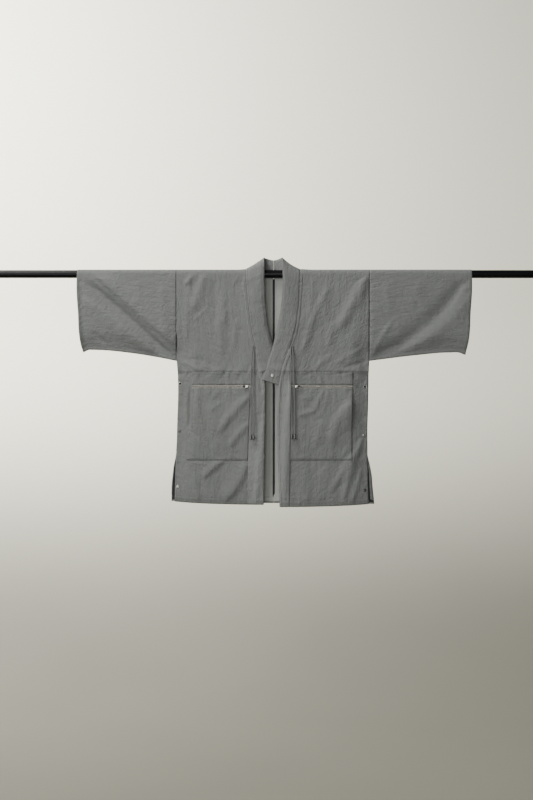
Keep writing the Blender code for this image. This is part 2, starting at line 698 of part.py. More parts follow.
def add_object(name, mesh, look, collection):
    """Puts a mesh in the collection as an object with its material."""
    mesh.materials.append(material(look))
    made = bpy.data.objects.new(name, mesh)
    collection.objects.link(made)
    return made


def add_wall(name, rows, thickness, look, collection, ring=False, keep=None):
    """A cloth wall: the grid's middle surface, thickened evenly to both sides.

    keep, where given, says which of the grid's cells are cloth.
    """
    width = len(rows[0])
    points = [point for row in rows for point in row]
    faces = []
    for i in range(len(rows) - 1):
        for j in range(width if ring else width - 1):
            if keep and not keep(i, j):
                continue
            a, b = i * width + j, i * width + (j + 1) % width
            faces.append((a, b, b + width, a + width))
    mesh = bpy.data.meshes.new(name)
    mesh.from_pydata([tuple(p) for p in points], [], faces)
    if keep:
        drop_loose_points(mesh)
    made = add_object(name, mesh, look, collection)
    solid = made.modifiers.new("Solidify", "SOLIDIFY")
    solid.thickness = thickness
    solid.offset = 0.0
    solid.use_even_offset = True
    mesh.shade_smooth()
    return made


def drop_loose_points(mesh):
    """Takes out the points of a mesh that no face uses."""
    shape = bmesh.new()
    shape.from_mesh(mesh)
    loose = [vert for vert in shape.verts if not vert.link_faces]
    bmesh.ops.delete(shape, geom=loose, context="VERTS")
    shape.to_mesh(mesh)
    shape.free()


def place_on(made, point, normal):
    """Stands an object made along +Z on a point, pointing along the normal."""
    made.location = point
    made.rotation_mode = "QUATERNION"
    made.rotation_quaternion = normal.to_track_quat("Z", "Y")


def add_snap(name, point, normal, look, collection):
    """A snap's round cap: a low disc with a bevelled rim and a raised middle."""
    shape = bmesh.new()
    bmesh.ops.create_cone(
        shape, cap_ends=True, segments=20, radius1=SNAP_RADIUS, radius2=SNAP_RADIUS * 0.78, depth=SNAP_HEIGHT,
        matrix=Matrix.Translation((0.0, 0.0, SNAP_HEIGHT / 2)),
    )
    top = [face for face in shape.faces if face.normal.z > 0.9]
    bmesh.ops.inset_region(shape, faces=top, thickness=SNAP_RADIUS * 0.3)
    for vert in top[0].verts:
        vert.co.z += SNAP_HEIGHT * 0.25
    mesh = bpy.data.meshes.new(name)
    shape.to_mesh(mesh)
    shape.free()
    made = add_object(name, mesh, look, collection)
    place_on(made, point, normal)
    return made


def add_eyelet(name, point, normal, look, collection):
    """An eyelet's ring: a washer with a rounded profile, turned about its axis."""
    middle = (EYELET_RADIUS + EYELET_HOLE) / 2
    profile = [
        (EYELET_RADIUS, EYELET_HEIGHT * 0.4), (EYELET_RADIUS, 0.0), (EYELET_HOLE, 0.0),
        (EYELET_HOLE, EYELET_HEIGHT * 0.6), (middle, EYELET_HEIGHT), (EYELET_RADIUS, EYELET_HEIGHT * 0.4),
    ]
    mesh = bpy.data.meshes.new(name)
    mesh.from_pydata([(r, 0.0, z) for r, z in profile[:-1]], [(k, (k + 1) % 5) for k in range(5)], [])
    made = add_object(name, mesh, look, collection)
    turn = made.modifiers.new("Screw", "SCREW")
    turn.steps = turn.render_steps = 16
    turn.use_merge_vertices = True
    turn.merge_threshold = 0.00001
    place_on(made, point, normal)
    return made


def add_cord(name, points, diameter, look, collection):
    """A cord as a tube along a line of points."""
    curve = bpy.data.curves.new(name, "CURVE")
    curve.dimensions = "3D"
    line = curve.splines.new("POLY")
    line.points.add(len(points) - 1)
    for place, point in zip(line.points, points):
        place.co = (*point, 1.0)
    curve.bevel_depth = diameter / 2
    curve.bevel_resolution = 2
    curve.use_fill_caps = True
    curve.materials.append(material(look))
    made = bpy.data.objects.new(name, curve)
    collection.objects.link(made)
    return made


def build_rod(collection):
    """The rod that carries the coat, with plain flat ends."""
    bpy.ops.mesh.primitive_cylinder_add(
        vertices=ROD_SIDES, radius=ROD_RADIUS, depth=2 * ROD_HALF_LENGTH, rotation=(0.0, math.pi / 2, 0.0)
    )
    rod = bpy.context.object
    rod.name = "rod"
    rod.data.name = "rod"
    for owner in list(rod.users_collection):
        owner.objects.unlink(rod)
    collection.objects.link(rod)
    rod.data.materials.append(material("rod"))
    rod.data.shade_smooth()
    rod.data.set_sharp_from_angle(angle=math.radians(40))


def build_backs(collection):
    """Both backs, the dark tape over their seam and the tapes inside their hems."""
    for side in SIGN:
        rows = back_rows(side)
        add_wall(f"back_{side}", rows, CLOTH, "cloth", collection)
        build_hem_tape(side, rows, collection)
    tape_rows = []
    for z in CENTRE_TAPE_LEVELS:
        inside = body_depth("back", "left", CENTRE_BACK_X, z) - CLOTH / 2 - LAYER_GAP - PATCH_THICK / 2
        row = [Vector((CENTRE_BACK_X + TAPE_WIDTH * share, inside, z)) for share in (-0.5, 0.0, 0.5)]
        tape_rows.append(row)
    add_wall("centre_back_tape", tape_rows, PATCH_THICK, "binding", collection)


def build_hem_tape(side, rows, collection):
    """The narrow dark facing inside the hem of a back."""
    strip = []
    for share in HEM_TAPE_SHARES:
        strip.append([point.lerp(up, share) for point, up in zip(rows[-1], rows[-2])])
    normals = outward(strip, side, "back")
    inside = moved_out(strip, normals, -(CLOTH / 2 + HEM_TAPE_GAP + PATCH_THICK / 2))
    add_wall(f"back_hem_tape_{side}", inside, PATCH_THICK, "binding", collection)


def grid_place(rows, x, z):
    """The point of a panel's faceted middle surface at an x and a height, and its normal."""
    for i in range(len(rows) - 1):
        for j in range(len(rows[0]) - 1):
            corners = (rows[i][j], rows[i][j + 1], rows[i + 1][j + 1], rows[i + 1][j])
            for a, b, c in ((corners[0], corners[1], corners[2]), (corners[0], corners[2], corners[3])):
                area = (b.x - a.x) * (c.z - a.z) - (c.x - a.x) * (b.z - a.z)
                if abs(area) < 1e-9:
                    continue
                u = ((b.x - x) * (c.z - z) - (c.x - x) * (b.z - z)) / area
                v = ((c.x - x) * (a.z - z) - (a.x - x) * (c.z - z)) / area
                if u >= -1e-6 and v >= -1e-6 and u + v <= 1 + 1e-6:
                    return a * u + b * v + c * (1 - u - v), (b - a).cross(c - a).normalized()
    raise ValueError(f"no cloth at {x:.4f}, {z:.4f}")


def seat_on(rows, x, z, radius, outside, wall=CLOTH):
    """Where a disc of a radius rests on a panel's wall, and its normal; outside is -1 or 1 along Y."""
    samples = []
    for k in range(SEAT_SAMPLES):
        turn = math.tau * k / SEAT_SAMPLES
        samples.append(grid_place(rows, x + radius * math.cos(turn), z + radius * math.sin(turn))[0])
    middle, _ = grid_place(rows, x, z)
    normal = Vector()
    for k in range(SEAT_SAMPLES):
        following = samples[(k + SEAT_SAMPLES // 4) % SEAT_SAMPLES]
        normal += (samples[k] - middle).cross(following - middle)
    normal.normalize()
    if normal.y * outside < 0:
        normal.negate()
    highest = max((point - middle).dot(normal) for point in samples + [middle])
    return middle + normal * (max(highest, 0.0) + wall / 2 + LAYER_GAP), normal


def build_front(side, collection):
    """A front with its inner band, its pocket, the strip and zip above that, and its snaps."""
    rows = front_rows(side)
    add_wall(f"front_{side}", rows, CLOTH, "cloth", collection)
    normals = outward(rows, side)
    first_level = len(rows) - len(FRONT_LEVELS) - len(SKIRT_SHARES)
    row_at = {z: first_level + k for k, z in enumerate(FRONT_LEVELS)}
    on_panel = CLOTH / 2 + LAYER_GAP + PATCH_THICK / 2
    span = (BAND_COLUMNS, MOUTH_COLUMN)

    def lifted(top, bottom, columns, distance):
        chosen = (row_at[top], bottom)
        return moved_out(patch(rows, chosen, columns), patch(normals, chosen, columns), distance)

    band = lifted(BAND_START_Z, len(rows) - 1, (0, BAND_COLUMNS), on_panel)
    trim_column(band, -1, -2, SEAM_GAP / 2)
    for row in band[:BAND_ROWS_UNDER_COLLAR]:
        row[0] += (row[1] - row[0]).normalized() * BAND_COLLAR_INSET
    add_wall(f"front_band_{side}", band, PATCH_THICK, "cloth", collection)

    strip = lifted(STRIP_TOP_Z, row_at[ZIP_TOP_Z], span, on_panel)
    trim_row(strip, -1, -2, SEAM_GAP / 2)
    trim_column(strip, 0, 1, SEAM_GAP / 2)
    add_wall(f"waist_strip_{side}", strip, PATCH_THICK, "cloth", collection)

    bag_rows = row_at[BAG_BOTTOM_Z] - row_at[BAG_TOP_Z]
    mouth_rows = row_at[MOUTH_BOTTOM_Z] - row_at[BAG_TOP_Z]
    columns = MOUTH_COLUMN - BAND_COLUMNS
    bag_span = (BAND_COLUMNS, BAG_BOTTOM_COLUMN[side])

    def bag_distance(i, j):
        across, down = min(j / columns, 1.0), i / bag_rows
        belly = BAG_BELLY * 16 * across * (1 - across) * down * (1 - down)
        mouth = math.sin(math.pi * min(i / mouth_rows, 1.0)) if i <= mouth_rows else 0.0
        gape = MOUTH_GAPE[side] * mouth * smoothstep((across - 0.35) / 0.65)
        return on_panel + belly + gape

    bag = lifted(BAG_TOP_Z, row_at[BAG_BOTTOM_Z], bag_span, bag_distance)
    trim_column(bag, 0, 1, SEAM_GAP / 2)
    add_wall(
        f"pocket_bag_{side}", bag, PATCH_THICK, "cloth", collection,
        keep=lambda i, j: j < columns or i >= mouth_rows,
    )
    build_zip(side, rows, normals, row_at, collection)
    build_side_fittings(side, rows, collection)


def build_side_fittings(side, rows, collection):
    """The eyelet and the snaps beside the side seam, and the snap's other half on the back."""
    sign = SIGN[side]
    inset, z = EYELETS[side]
    point, normal = seat_on(rows, sign * (side_edge("front", side, z) - inset), z, EYELET_RADIUS, -1)
    add_eyelet(f"eyelet_{side}", point, normal, "metal", collection)
    inset, heights = SIDE_SNAPS[side]
    for number, z in enumerate(heights, 1):
        point, normal = seat_on(rows, sign * (side_edge("front", side, z) - inset), z, SNAP_RADIUS, -1)
        add_snap(f"side_snap_{side}_{number}", point, normal, "metal", collection)
    z = heights[-1]
    x = sign * (side_edge("back", side, z) - VENT_SOCKET_INSET)
    point, normal = seat_on(back_rows(side), x, z, SNAP_RADIUS, -1)
    add_snap(f"vent_socket_{side}", point, normal, "black_metal", collection)


def trim_row(rows, index, neighbour, distance):
    """Pulls a row of points back towards its neighbour, to leave a gap at a seam."""
    for point, other in zip(rows[index], rows[neighbour]):
        point += (other - point).normalized() * distance


def trim_column(rows, index, neighbour, distance):
    """Pulls a column of points back towards its neighbour, to leave a gap at a seam."""
    for row in rows:
        row[index] += (row[neighbour] - row[index]).normalized() * distance


def build_zip(side, rows, normals, row_at, collection):
    """The zip between the strip and the bag: its tape, slider and pull tab."""
    span = (row_at[ZIP_TOP_Z], row_at[BAG_TOP_Z])
    columns = (BAND_COLUMNS, MOUTH_COLUMN)
    on_panel = CLOTH / 2 + LAYER_GAP + PATCH_THICK / 2
    tape = moved_out(patch(rows, span, columns), patch(normals, span, columns), on_panel)
    trim_column(tape, 0, 1, SEAM_GAP / 2)
    for up, low in zip(tape[0], tape[-1]):
        step = (low - up).normalized() * SEAM_GAP
        up += step
        low -= step
    add_wall(f"zip_tape_{side}", tape, PATCH_THICK, "zip_tape", collection)
    sign = SIGN[side]
    centre = (tape[0][0] + tape[-1][0]) / 2
    centre.x += sign * SLIDER_FROM_INNER_END[side]
    seat, _ = seat_on(tape, centre.x, centre.z, SLIDER_SEAT_RADIUS, -1, PATCH_THICK)
    slope = grid_place(tape, centre.x + sign * SLIDER_SIZE.x / 2, centre.z)[0].y
    slope = min(slope, grid_place(tape, centre.x - sign * SLIDER_SIZE.x / 2, centre.z)[0].y)
    front_y = min(seat.y, slope - PATCH_THICK / 2 - LAYER_GAP)
    slider_centre = Vector((centre.x, front_y - SLIDER_SIZE.y / 2, centre.z))
    build_slider(f"zip_slider_{side}", slider_centre, collection)
    hinge = slider_centre + Vector((0.0, -SLIDER_SIZE.y / 2 - PULL_STAND_OFF, 0.0))
    build_pull(f"zip_pull_{side}", hinge, sign, collection)


def build_slider(name, centre, collection):
    """A zip slider: a rounded block with two ears that hold the bail pin."""
    shape = bmesh.new()
    bmesh.ops.create_cube(shape, size=1.0, matrix=Matrix.Diagonal((*SLIDER_SIZE, 1.0)))
    bmesh.ops.bevel(shape, geom=list(shape.edges), offset=SLIDER_BEVEL, segments=1, affect="EDGES")
    mesh = bpy.data.meshes.new(name)
    shape.to_mesh(mesh)
    shape.free()
    body = add_object(name, mesh, "metal", collection)
    body.location = centre
    ear_depth = PULL_STAND_OFF + BAIL_RADIUS * 2.4
    size = Vector((EAR_LENGTH, ear_depth + EAR_SUNK, EAR_THICK))
    for end in (-1, 1):
        ear = bmesh.new()
        bmesh.ops.create_cube(ear, size=1.0, matrix=Matrix.Diagonal((*size, 1.0)))
        ear_mesh = bpy.data.meshes.new(f"{name}_ear")
        ear.to_mesh(ear_mesh)
        ear.free()
        cutter = bpy.data.objects.new(f"{name}_ear_{end}", ear_mesh)
        collection.objects.link(cutter)
        forward = SLIDER_SIZE.y / 2 + size.y / 2 - EAR_SUNK
        cutter.location = centre + Vector((0.0, -forward, end * EAR_SPREAD))
        join_to(body, cutter)


def join_to(body, other):
    """Unites another object with the body and removes it."""
    union = body.modifiers.new("Union", "BOOLEAN")
    union.operation = "UNION"
    union.solver = "EXACT"
    union.object = other
    bpy.context.view_layer.update()
    graph = bpy.context.evaluated_depsgraph_get()
    mesh = bpy.data.meshes.new_from_object(body.evaluated_get(graph))
    body.modifiers.remove(union)
    body.data = mesh
    bpy.data.objects.remove(other)


def build_pull(name, hinge, sign, collection):
    """A pull tab: a flat rounded tab with a barrel that turns between the slider's ears."""
    shape = bmesh.new()
    bmesh.ops.create_cone(
        shape, cap_ends=True, segments=12, radius1=BARREL_RADIUS, radius2=BARREL_RADIUS, depth=BARREL_LENGTH
    )
    mesh = bpy.data.meshes.new(name)
    shape.to_mesh(mesh)
    shape.free()
    pull = add_object(name, mesh, "black_metal", collection)
    pull.location = hinge
    tab_length = PULL_LENGTH - PULL_NECK_LENGTH
    pieces = [
        (PULL_NECK_LENGTH / 2, PULL_NECK_LENGTH, BARREL_LENGTH),
        (PULL_NECK_LENGTH + tab_length / 2 - PULL_OVERLAP, tab_length, PULL_WIDTH),
    ]
    for number, (middle, length, width) in enumerate(pieces):
        block = bmesh.new()
        bmesh.ops.create_cube(block, size=1.0, matrix=Matrix.Diagonal((length, PULL_THICK, width, 1.0)))
        upright = [e for e in block.edges if abs(e.verts[0].co.y - e.verts[1].co.y) > PULL_THICK / 2]
        if number == 1:
            bmesh.ops.bevel(block, geom=upright, offset=PULL_CORNER, segments=2, affect="EDGES")
        block_mesh = bpy.data.meshes.new(f"{name}_block")
        block.to_mesh(block_mesh)
        block.free()
        piece = bpy.data.objects.new(f"{name}_block_{number}", block_mesh)
        collection.objects.link(piece)
        piece.location = hinge + Vector((sign * middle, 0.0, 0.0))
        join_to(pull, piece)


def build_collar(side, collection):
    """Half of the collar band, and on the right one the snap that holds its end."""
    rows = collar_rows(side)
    add_wall(f"collar_{side}", rows, COLLAR_THICK, "cloth", collection)
    if side == "right":
        point, normal = seat_on(rows, *COLLAR_SNAP, SNAP_RADIUS, -1, COLLAR_THICK)
        add_snap("collar_snap", point, normal, "metal", collection)


def build_sleeve(side, collection):
    """A tube sleeve with its fold along the bottom."""
    add_wall(f"sleeve_{side}", sleeve_rings(side), CLOTH, "cloth", collection, ring=True)


def build_cords(collection):
    """Two cords on each side, each with a metal end, hanging in front of the coat."""
    for name, route in CORD_ROUTES.items():
        line = spline([Vector(key) for key in route], CORD_STEPS)
        add_cord(f"cord_{name}", line, CORD_DIAMETER, "cord", collection)
        build_cord_tip(f"cord_tip_{name}", line[-1], collection)


def build_cord_tip(name, end, collection):
    """The bell-shaped metal end of a cord, turned from its profile."""
    top = end.z - SEAM_GAP
    profile = [
        (0.0, 0.0), (CORD_TIP_RADIUS * 0.62, 0.0), (CORD_TIP_RADIUS * 0.72, -0.0030),
        (CORD_TIP_RADIUS, -CORD_TIP_LENGTH * 0.82), (CORD_TIP_RADIUS * 0.8, -CORD_TIP_LENGTH),
        (0.0, -CORD_TIP_LENGTH),
    ]
    mesh = bpy.data.meshes.new(name)
    mesh.from_pydata([(r, 0.0, z) for r, z in profile], [(k, k + 1) for k in range(len(profile) - 1)], [])
    made = add_object(name, mesh, "metal", collection)
    made.location = (end.x, end.y, top)
    turn = made.modifiers.new("Screw", "SCREW")
    turn.steps = turn.render_steps = 12
    turn.use_merge_vertices = True
    turn.merge_threshold = 0.00001
    turn.use_normal_calculate = True


def main():
    """Clears the scene and builds the coat on its rod."""
    for old in list(bpy.data.objects):
        bpy.data.objects.remove(old)
    collection = bpy.data.collections.new("happi_coat")
    bpy.context.scene.collection.children.link(collection)
    build_rod(collection)
    build_backs(collection)
    for side in SIGN:
        build_front(side, collection)
        build_collar(side, collection)
        build_sleeve(side, collection)
    build_cords(collection)


main()
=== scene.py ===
"""The looks of a light grey happi coat that hangs on a round rod through both sleeves.

Metres, +Z up, +X to the viewer's right, the coat's front towards -Y. The origin is on the rod's axis,
midway between the cuffs. Each cloth panel is a thin shell on its solid's own form. Its creases are
soft ridges and troughs, and its seams pucker where they are sewn.
"""

import json
import math
from collections import namedtuple

import bpy
import numpy as np
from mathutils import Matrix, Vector

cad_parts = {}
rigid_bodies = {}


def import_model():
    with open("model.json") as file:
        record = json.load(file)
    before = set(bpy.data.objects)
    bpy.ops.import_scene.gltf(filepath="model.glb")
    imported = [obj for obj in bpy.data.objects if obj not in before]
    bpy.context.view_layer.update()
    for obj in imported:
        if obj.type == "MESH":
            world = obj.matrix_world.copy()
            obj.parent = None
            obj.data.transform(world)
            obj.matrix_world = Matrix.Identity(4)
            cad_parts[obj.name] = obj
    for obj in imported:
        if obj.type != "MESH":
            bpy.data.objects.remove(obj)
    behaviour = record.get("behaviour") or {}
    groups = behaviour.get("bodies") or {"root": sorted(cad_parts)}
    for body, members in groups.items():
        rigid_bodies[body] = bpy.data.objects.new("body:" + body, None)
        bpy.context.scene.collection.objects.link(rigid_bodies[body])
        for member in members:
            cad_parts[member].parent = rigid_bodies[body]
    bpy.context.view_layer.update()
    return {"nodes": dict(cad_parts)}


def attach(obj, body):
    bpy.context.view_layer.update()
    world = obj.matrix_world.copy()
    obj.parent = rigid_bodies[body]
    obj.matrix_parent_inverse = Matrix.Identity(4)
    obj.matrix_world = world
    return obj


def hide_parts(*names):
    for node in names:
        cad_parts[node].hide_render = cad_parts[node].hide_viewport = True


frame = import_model()

# Sizes that the solids have too.
ROD_RADIUS = 0.0125
CLOTH = 0.0015
COLLAR_THICK = 0.0022
SEAM_GAP = 0.0004
TURN_RADIUS = ROD_RADIUS + SEAM_GAP + CLOTH / 2
QUARTER = TURN_RADIUS * math.pi / 2
SHOULDER_SEAM_ANGLE = math.radians(30)
SHOULDER_DROP = SHOULDER_SEAM_ANGLE * TURN_RADIUS
ARMHOLE_X = {"left": 0.3035, "right": 0.2938}
CENTRE_BACK_X = -0.0025
UNDERARM_Z = -0.2665
VENT_TOP_Z = -0.560
CLOSING_WIDTH = 0.062
ARMHOLE_CLOSING = 0.092
UNDERARM_HALF_DEPTH = 0.0022
SIDE_SEAM_HALF_DEPTH = 0.00098
SIDE_SEAM_SETTLES = 0.021
SIDE_SEAM = {
    "left": [
        (UNDERARM_Z, 0.3035), (-0.300, 0.3005), (-0.350, 0.2988), (-0.410, 0.2998), (-0.460, 0.3018),
        (-0.510, 0.3028), (VENT_TOP_Z, 0.3055),
    ],
    "right": [
        (UNDERARM_Z, 0.2938), (-0.300, 0.2922), (-0.350, 0.2912), (-0.421, 0.2899), (-0.460, 0.2885),
        (VENT_TOP_Z, 0.2885),
    ],
}
VENT_EDGE = {
    "front": {
        "left": [(-0.660, 0.3083), (-0.720, 0.3095)],
        "right": [(-0.720, 0.2915)],
    },
    "back": {
        "left": [(-0.590, 0.3120), (-0.626, 0.3166), (-0.660, 0.3198), (-0.690, 0.3200), (-0.720, 0.3190)],
        "right": [(-0.590, 0.2955), (-0.626, 0.3022), (-0.660, 0.3048), (-0.700, 0.3090), (-0.720, 0.3105)],
    },
}
VENT_HALF_DEPTH = {"front": 0.0045, "back": 0.0070}
COLLAR_END_Z = {"left": -0.324, "right": -0.343}
BAND_START_Z = -0.232
STRIP_TOP_Z = -0.305
ZIP_TOP_Z = -0.343
BAG_TOP_Z = -0.353
MOUTH_BOTTOM_Z = -0.4895
BAG_BOTTOM_Z = -0.576
BAG_BELLY = 0.0035
NECK_LIFT = 0.0016
BACK_NECK_DROP = 0.0235
CUFF_X = [
    (0.020, 0.609), (-0.050, 0.609), (-0.124, 0.6045), (-0.180, 0.602), (-0.217, 0.5975), (-0.245, 0.591),
]
SLEEVE_BOTTOM = {
    "left": [
        (0.3035, UNDERARM_Z), (0.360, -0.2555), (0.450, -0.2415), (0.540, -0.2330), (0.585, -0.2330),
        (0.610, -0.2365),
    ],
    "right": [
        (0.2938, UNDERARM_Z), (0.360, -0.2580), (0.450, -0.2475), (0.540, -0.2405), (0.575, -0.2415),
        (0.590, -0.2470), (0.610, -0.2480),
    ],
}
FRONT_EDGE = {
    "left": [
        (0.014, -0.0890), (0.0, -0.0890), (-0.049, -0.0860), (-0.111, -0.0790), (-0.173, -0.0705),
        (-0.218, -0.0611), (-0.345, -0.0305), (-0.390, -0.0305), (-0.720, -0.0350),
    ],
    "right": [
        (0.014, 0.0780), (0.0, 0.0780), (-0.049, 0.0760), (-0.111, 0.0715), (-0.173, 0.0625),
        (-0.218, 0.0500), (-0.262, 0.0347), (-0.299, 0.0229), (-0.343, 0.0140), (-0.390, 0.0110),
        (-0.720, 0.0171),
    ],
}
BAND_LINE = {
    "left": [
        (0.014, -0.1010), (-0.111, -0.0900), (-0.173, -0.0800), (-0.200, -0.0730), (-0.218, -0.0670),
        (-0.242, -0.0668), (-0.390, -0.0744), (-0.573, -0.0815), (-0.720, -0.0830),
    ],
    "right": [
        (0.014, 0.0890), (-0.111, 0.0820), (-0.173, 0.0720), (-0.200, 0.0620), (-0.218, 0.0560),
        (-0.242, 0.0520), (-0.390, 0.0500), (-0.573, 0.0485), (-0.720, 0.0450),
    ],
}
HEM_Z = {
    "front": {"left": (-0.7127, -0.7034), "right": (-0.7198, -0.7115)},
    "back": {"left": (-0.7090, -0.7015), "right": (-0.7090, -0.7110)},
}
MOUTH_SHARE = {"left": 0.803, "right": 0.796}
BAG_CORNER_SHARE = {"left": 0.845, "right": 0.796}

# The free edge of each collar half, in millimetres: how far along its seam from the centre back, and the
# x, y and z of the place.
COLLAR_EDGE = {
    "left": [
        (0, -2.8, 26.5, 44), (22, -16.5, 26, 47.5),
        (45, -26.5, 21.5, 50), (70, -31, 13, 50.5),
        (93, -31.8, 3, 50), (103, -32.2, -8.5, 45.5),
        (114, -32.5, -17.5, 33), (126, -32.6, -22.5, 12),
        (156, -32.6, -23.5, -20), (197, -30.8, -21, -68),
        (237, -27.9, -17.5, -112), (297, -18.6, -13, -173),
        (343, -7.5, -12, -216), (410, 7.5, -11.5, -276),
        (450, 14, -11.5, -312),
    ],
    "right": [
        (0, -2.2, 26.5, 44), (22, 10.5, 26, 47.5),
        (42, 18.5, 21.5, 50.5), (62, 22.5, 13, 51),
        (84, 24, 3, 50.5), (94, 24.3, -8.5, 45.5),
        (105, 25, -18, 33), (117, 25.8, -23.5, 12),
        (147, 26.4, -25, -20), (188, 24, -24.5, -68),
        (228, 19.5, -23.5, -111), (289, 7.3, -21.5, -173),
        (336, -2.7, -20.5, -216.5), (404, -21.5, -20, -276),
        (465, -39.5, -20, -326.5),
    ],
}

# The collar's fullness, the overlap of the fronts, and the small hard pieces.
COLLAR_HOLLOW = 0.0015
COLLAR_CROWN = {"left": 0.0025, "right": 0.0014}
CROWN_SPAN = (0.080, 0.140)
OVERLAP_LIFT = 0.0040
OVERLAP_LIFT_WIDTH = 0.060
OVERLAP_TOP = (-0.090, 0.080)
OVERLAP_BOTTOM = (-0.400, 0.120)
NECK_LIFT_REACH = (0.085, 0.030)
CORD_DIAMETER = 0.0032
CORD_TIP_LENGTH = 0.016
CORD_TIP_RADIUS = 0.0036
TIP_PROFILE = [
    (0.40, 0.0125), (0.60, 0.0), (0.66, 0.0375), (0.62, 0.1375), (0.70, 0.175), (0.74, 0.30), (0.86, 0.55),
    (0.97, 0.78), (1.0, 0.90), (0.96, 0.97), (0.84, 1.0), (0.62, 0.99), (0.55, 0.90), (0.20, 0.86),
]
CORD_ROUTES = {
    "left_a": [(-0.0668, -0.0184, -0.222), (-0.0702, -0.0244, -0.262), (-0.0722, -0.0244, -0.330),
               (-0.0735, -0.0251, -0.420), (-0.0730, -0.0262, -0.495)],
    "left_b": [(-0.0622, -0.0184, -0.222), (-0.0640, -0.0244, -0.262), (-0.0646, -0.0244, -0.330),
               (-0.0642, -0.0261, -0.420), (-0.0648, -0.0287, -0.495)],
    "right_a": [(0.0502, -0.0224, -0.222), (0.0496, -0.0278, -0.262), (0.0500, -0.0261, -0.330),
                (0.0515, -0.0298, -0.420), (0.0522, -0.0289, -0.494)],
    "right_b": [(0.0548, -0.0223, -0.222), (0.0578, -0.0271, -0.262), (0.0604, -0.0251, -0.330),
                (0.0620, -0.0266, -0.420), (0.0625, -0.0262, -0.494)],
}
SNAP_RADIUS = 0.0047
SNAP_HEIGHT = 0.0018
SNAP_PROFILE = [
    (0.90, -1 / 3), (0.98, 0.0), (1.0, 0.25), (0.97, 0.50), (0.90, 0.66), (0.80, 0.68), (0.70, 0.58),
    (0.60, 0.60), (0.50, 0.80), (0.36, 0.94), (0.18, 1.0),
]
EYELET_RADIUS = 0.0056
EYELET_HOLE = 0.0036
EYELET_HEIGHT = 0.0011
EYELETS = {"left": (0.0068, -0.340), "right": (0.0112, -0.349)}
SIDE_SNAPS = {"left": (0.0085, (-0.486, -0.658)), "right": (0.0112, (-0.499, -0.669))}
# Snaps that get the dark gunmetal look, as painted shade where they sit in shade.
SNAPS_IN_SHADE = [("left", 1), ("right", 2)]
VENT_SOCKET_INSET = 0.0075
COLLAR_SNAP = (-0.0063, -0.3139)
TAPE_WIDTH = 0.0065
SIGN = {"left": -1.0, "right": 1.0}
FACING = {"front": -1.0, "back": 1.0}

# What the shells add: folded hems, pieces sewn on, and how the pockets' mouths stand open.
FOLD_RADIUS = 0.0008
HEM_ROWS = 6
CUFF_HEM = 0.014
CUFF_CORNER_DIP = {"left": 0.006, "right": 0.0}
# The width of the dark tape inside each vent, and how much of the opening is cloth before it: the dark is
# tape and also painted shadow cast by the front.
VENT_TAPE_AND_SHADOW_WIDTH = {"left": 0.019, "right": 0.014}
VENT_RIM_SHARE = {"left": 0.10, "right": 0.58}
CUFF_EDGE_RISE = {"left": 0.0050, "right": -0.0016}
LEAST_HALF_DEPTH = 0.0014
ON_CLOTH = 0.0009
ON_PANEL = 0.0015
MOUTH_GAPE = {"left": 0.0036, "right": 0.0085}
MOUTH_DRAWN_IN = {"left": 0.0010, "right": 0.0035}
TOOTH_PITCH = 0.0013
TOOTH_HALF_WIDTH = 0.00042
TOOTH_HALF_LENGTH = 0.00125
TOOTH_LEVELS = [(-0.0006, 1.0), (0.0003, 1.0), (0.0006, 0.55)]
TOOTH_STAGGER = 0.00055
TAPE_SHELL = 0.0005
FACING_SHELL = 0.0006
COLLAR_ACROSS = 22
COLLAR_ROWS = 140
EDGE_ROLL = 0.0028
EDGE_ROLL_WIDTH = 0.0062

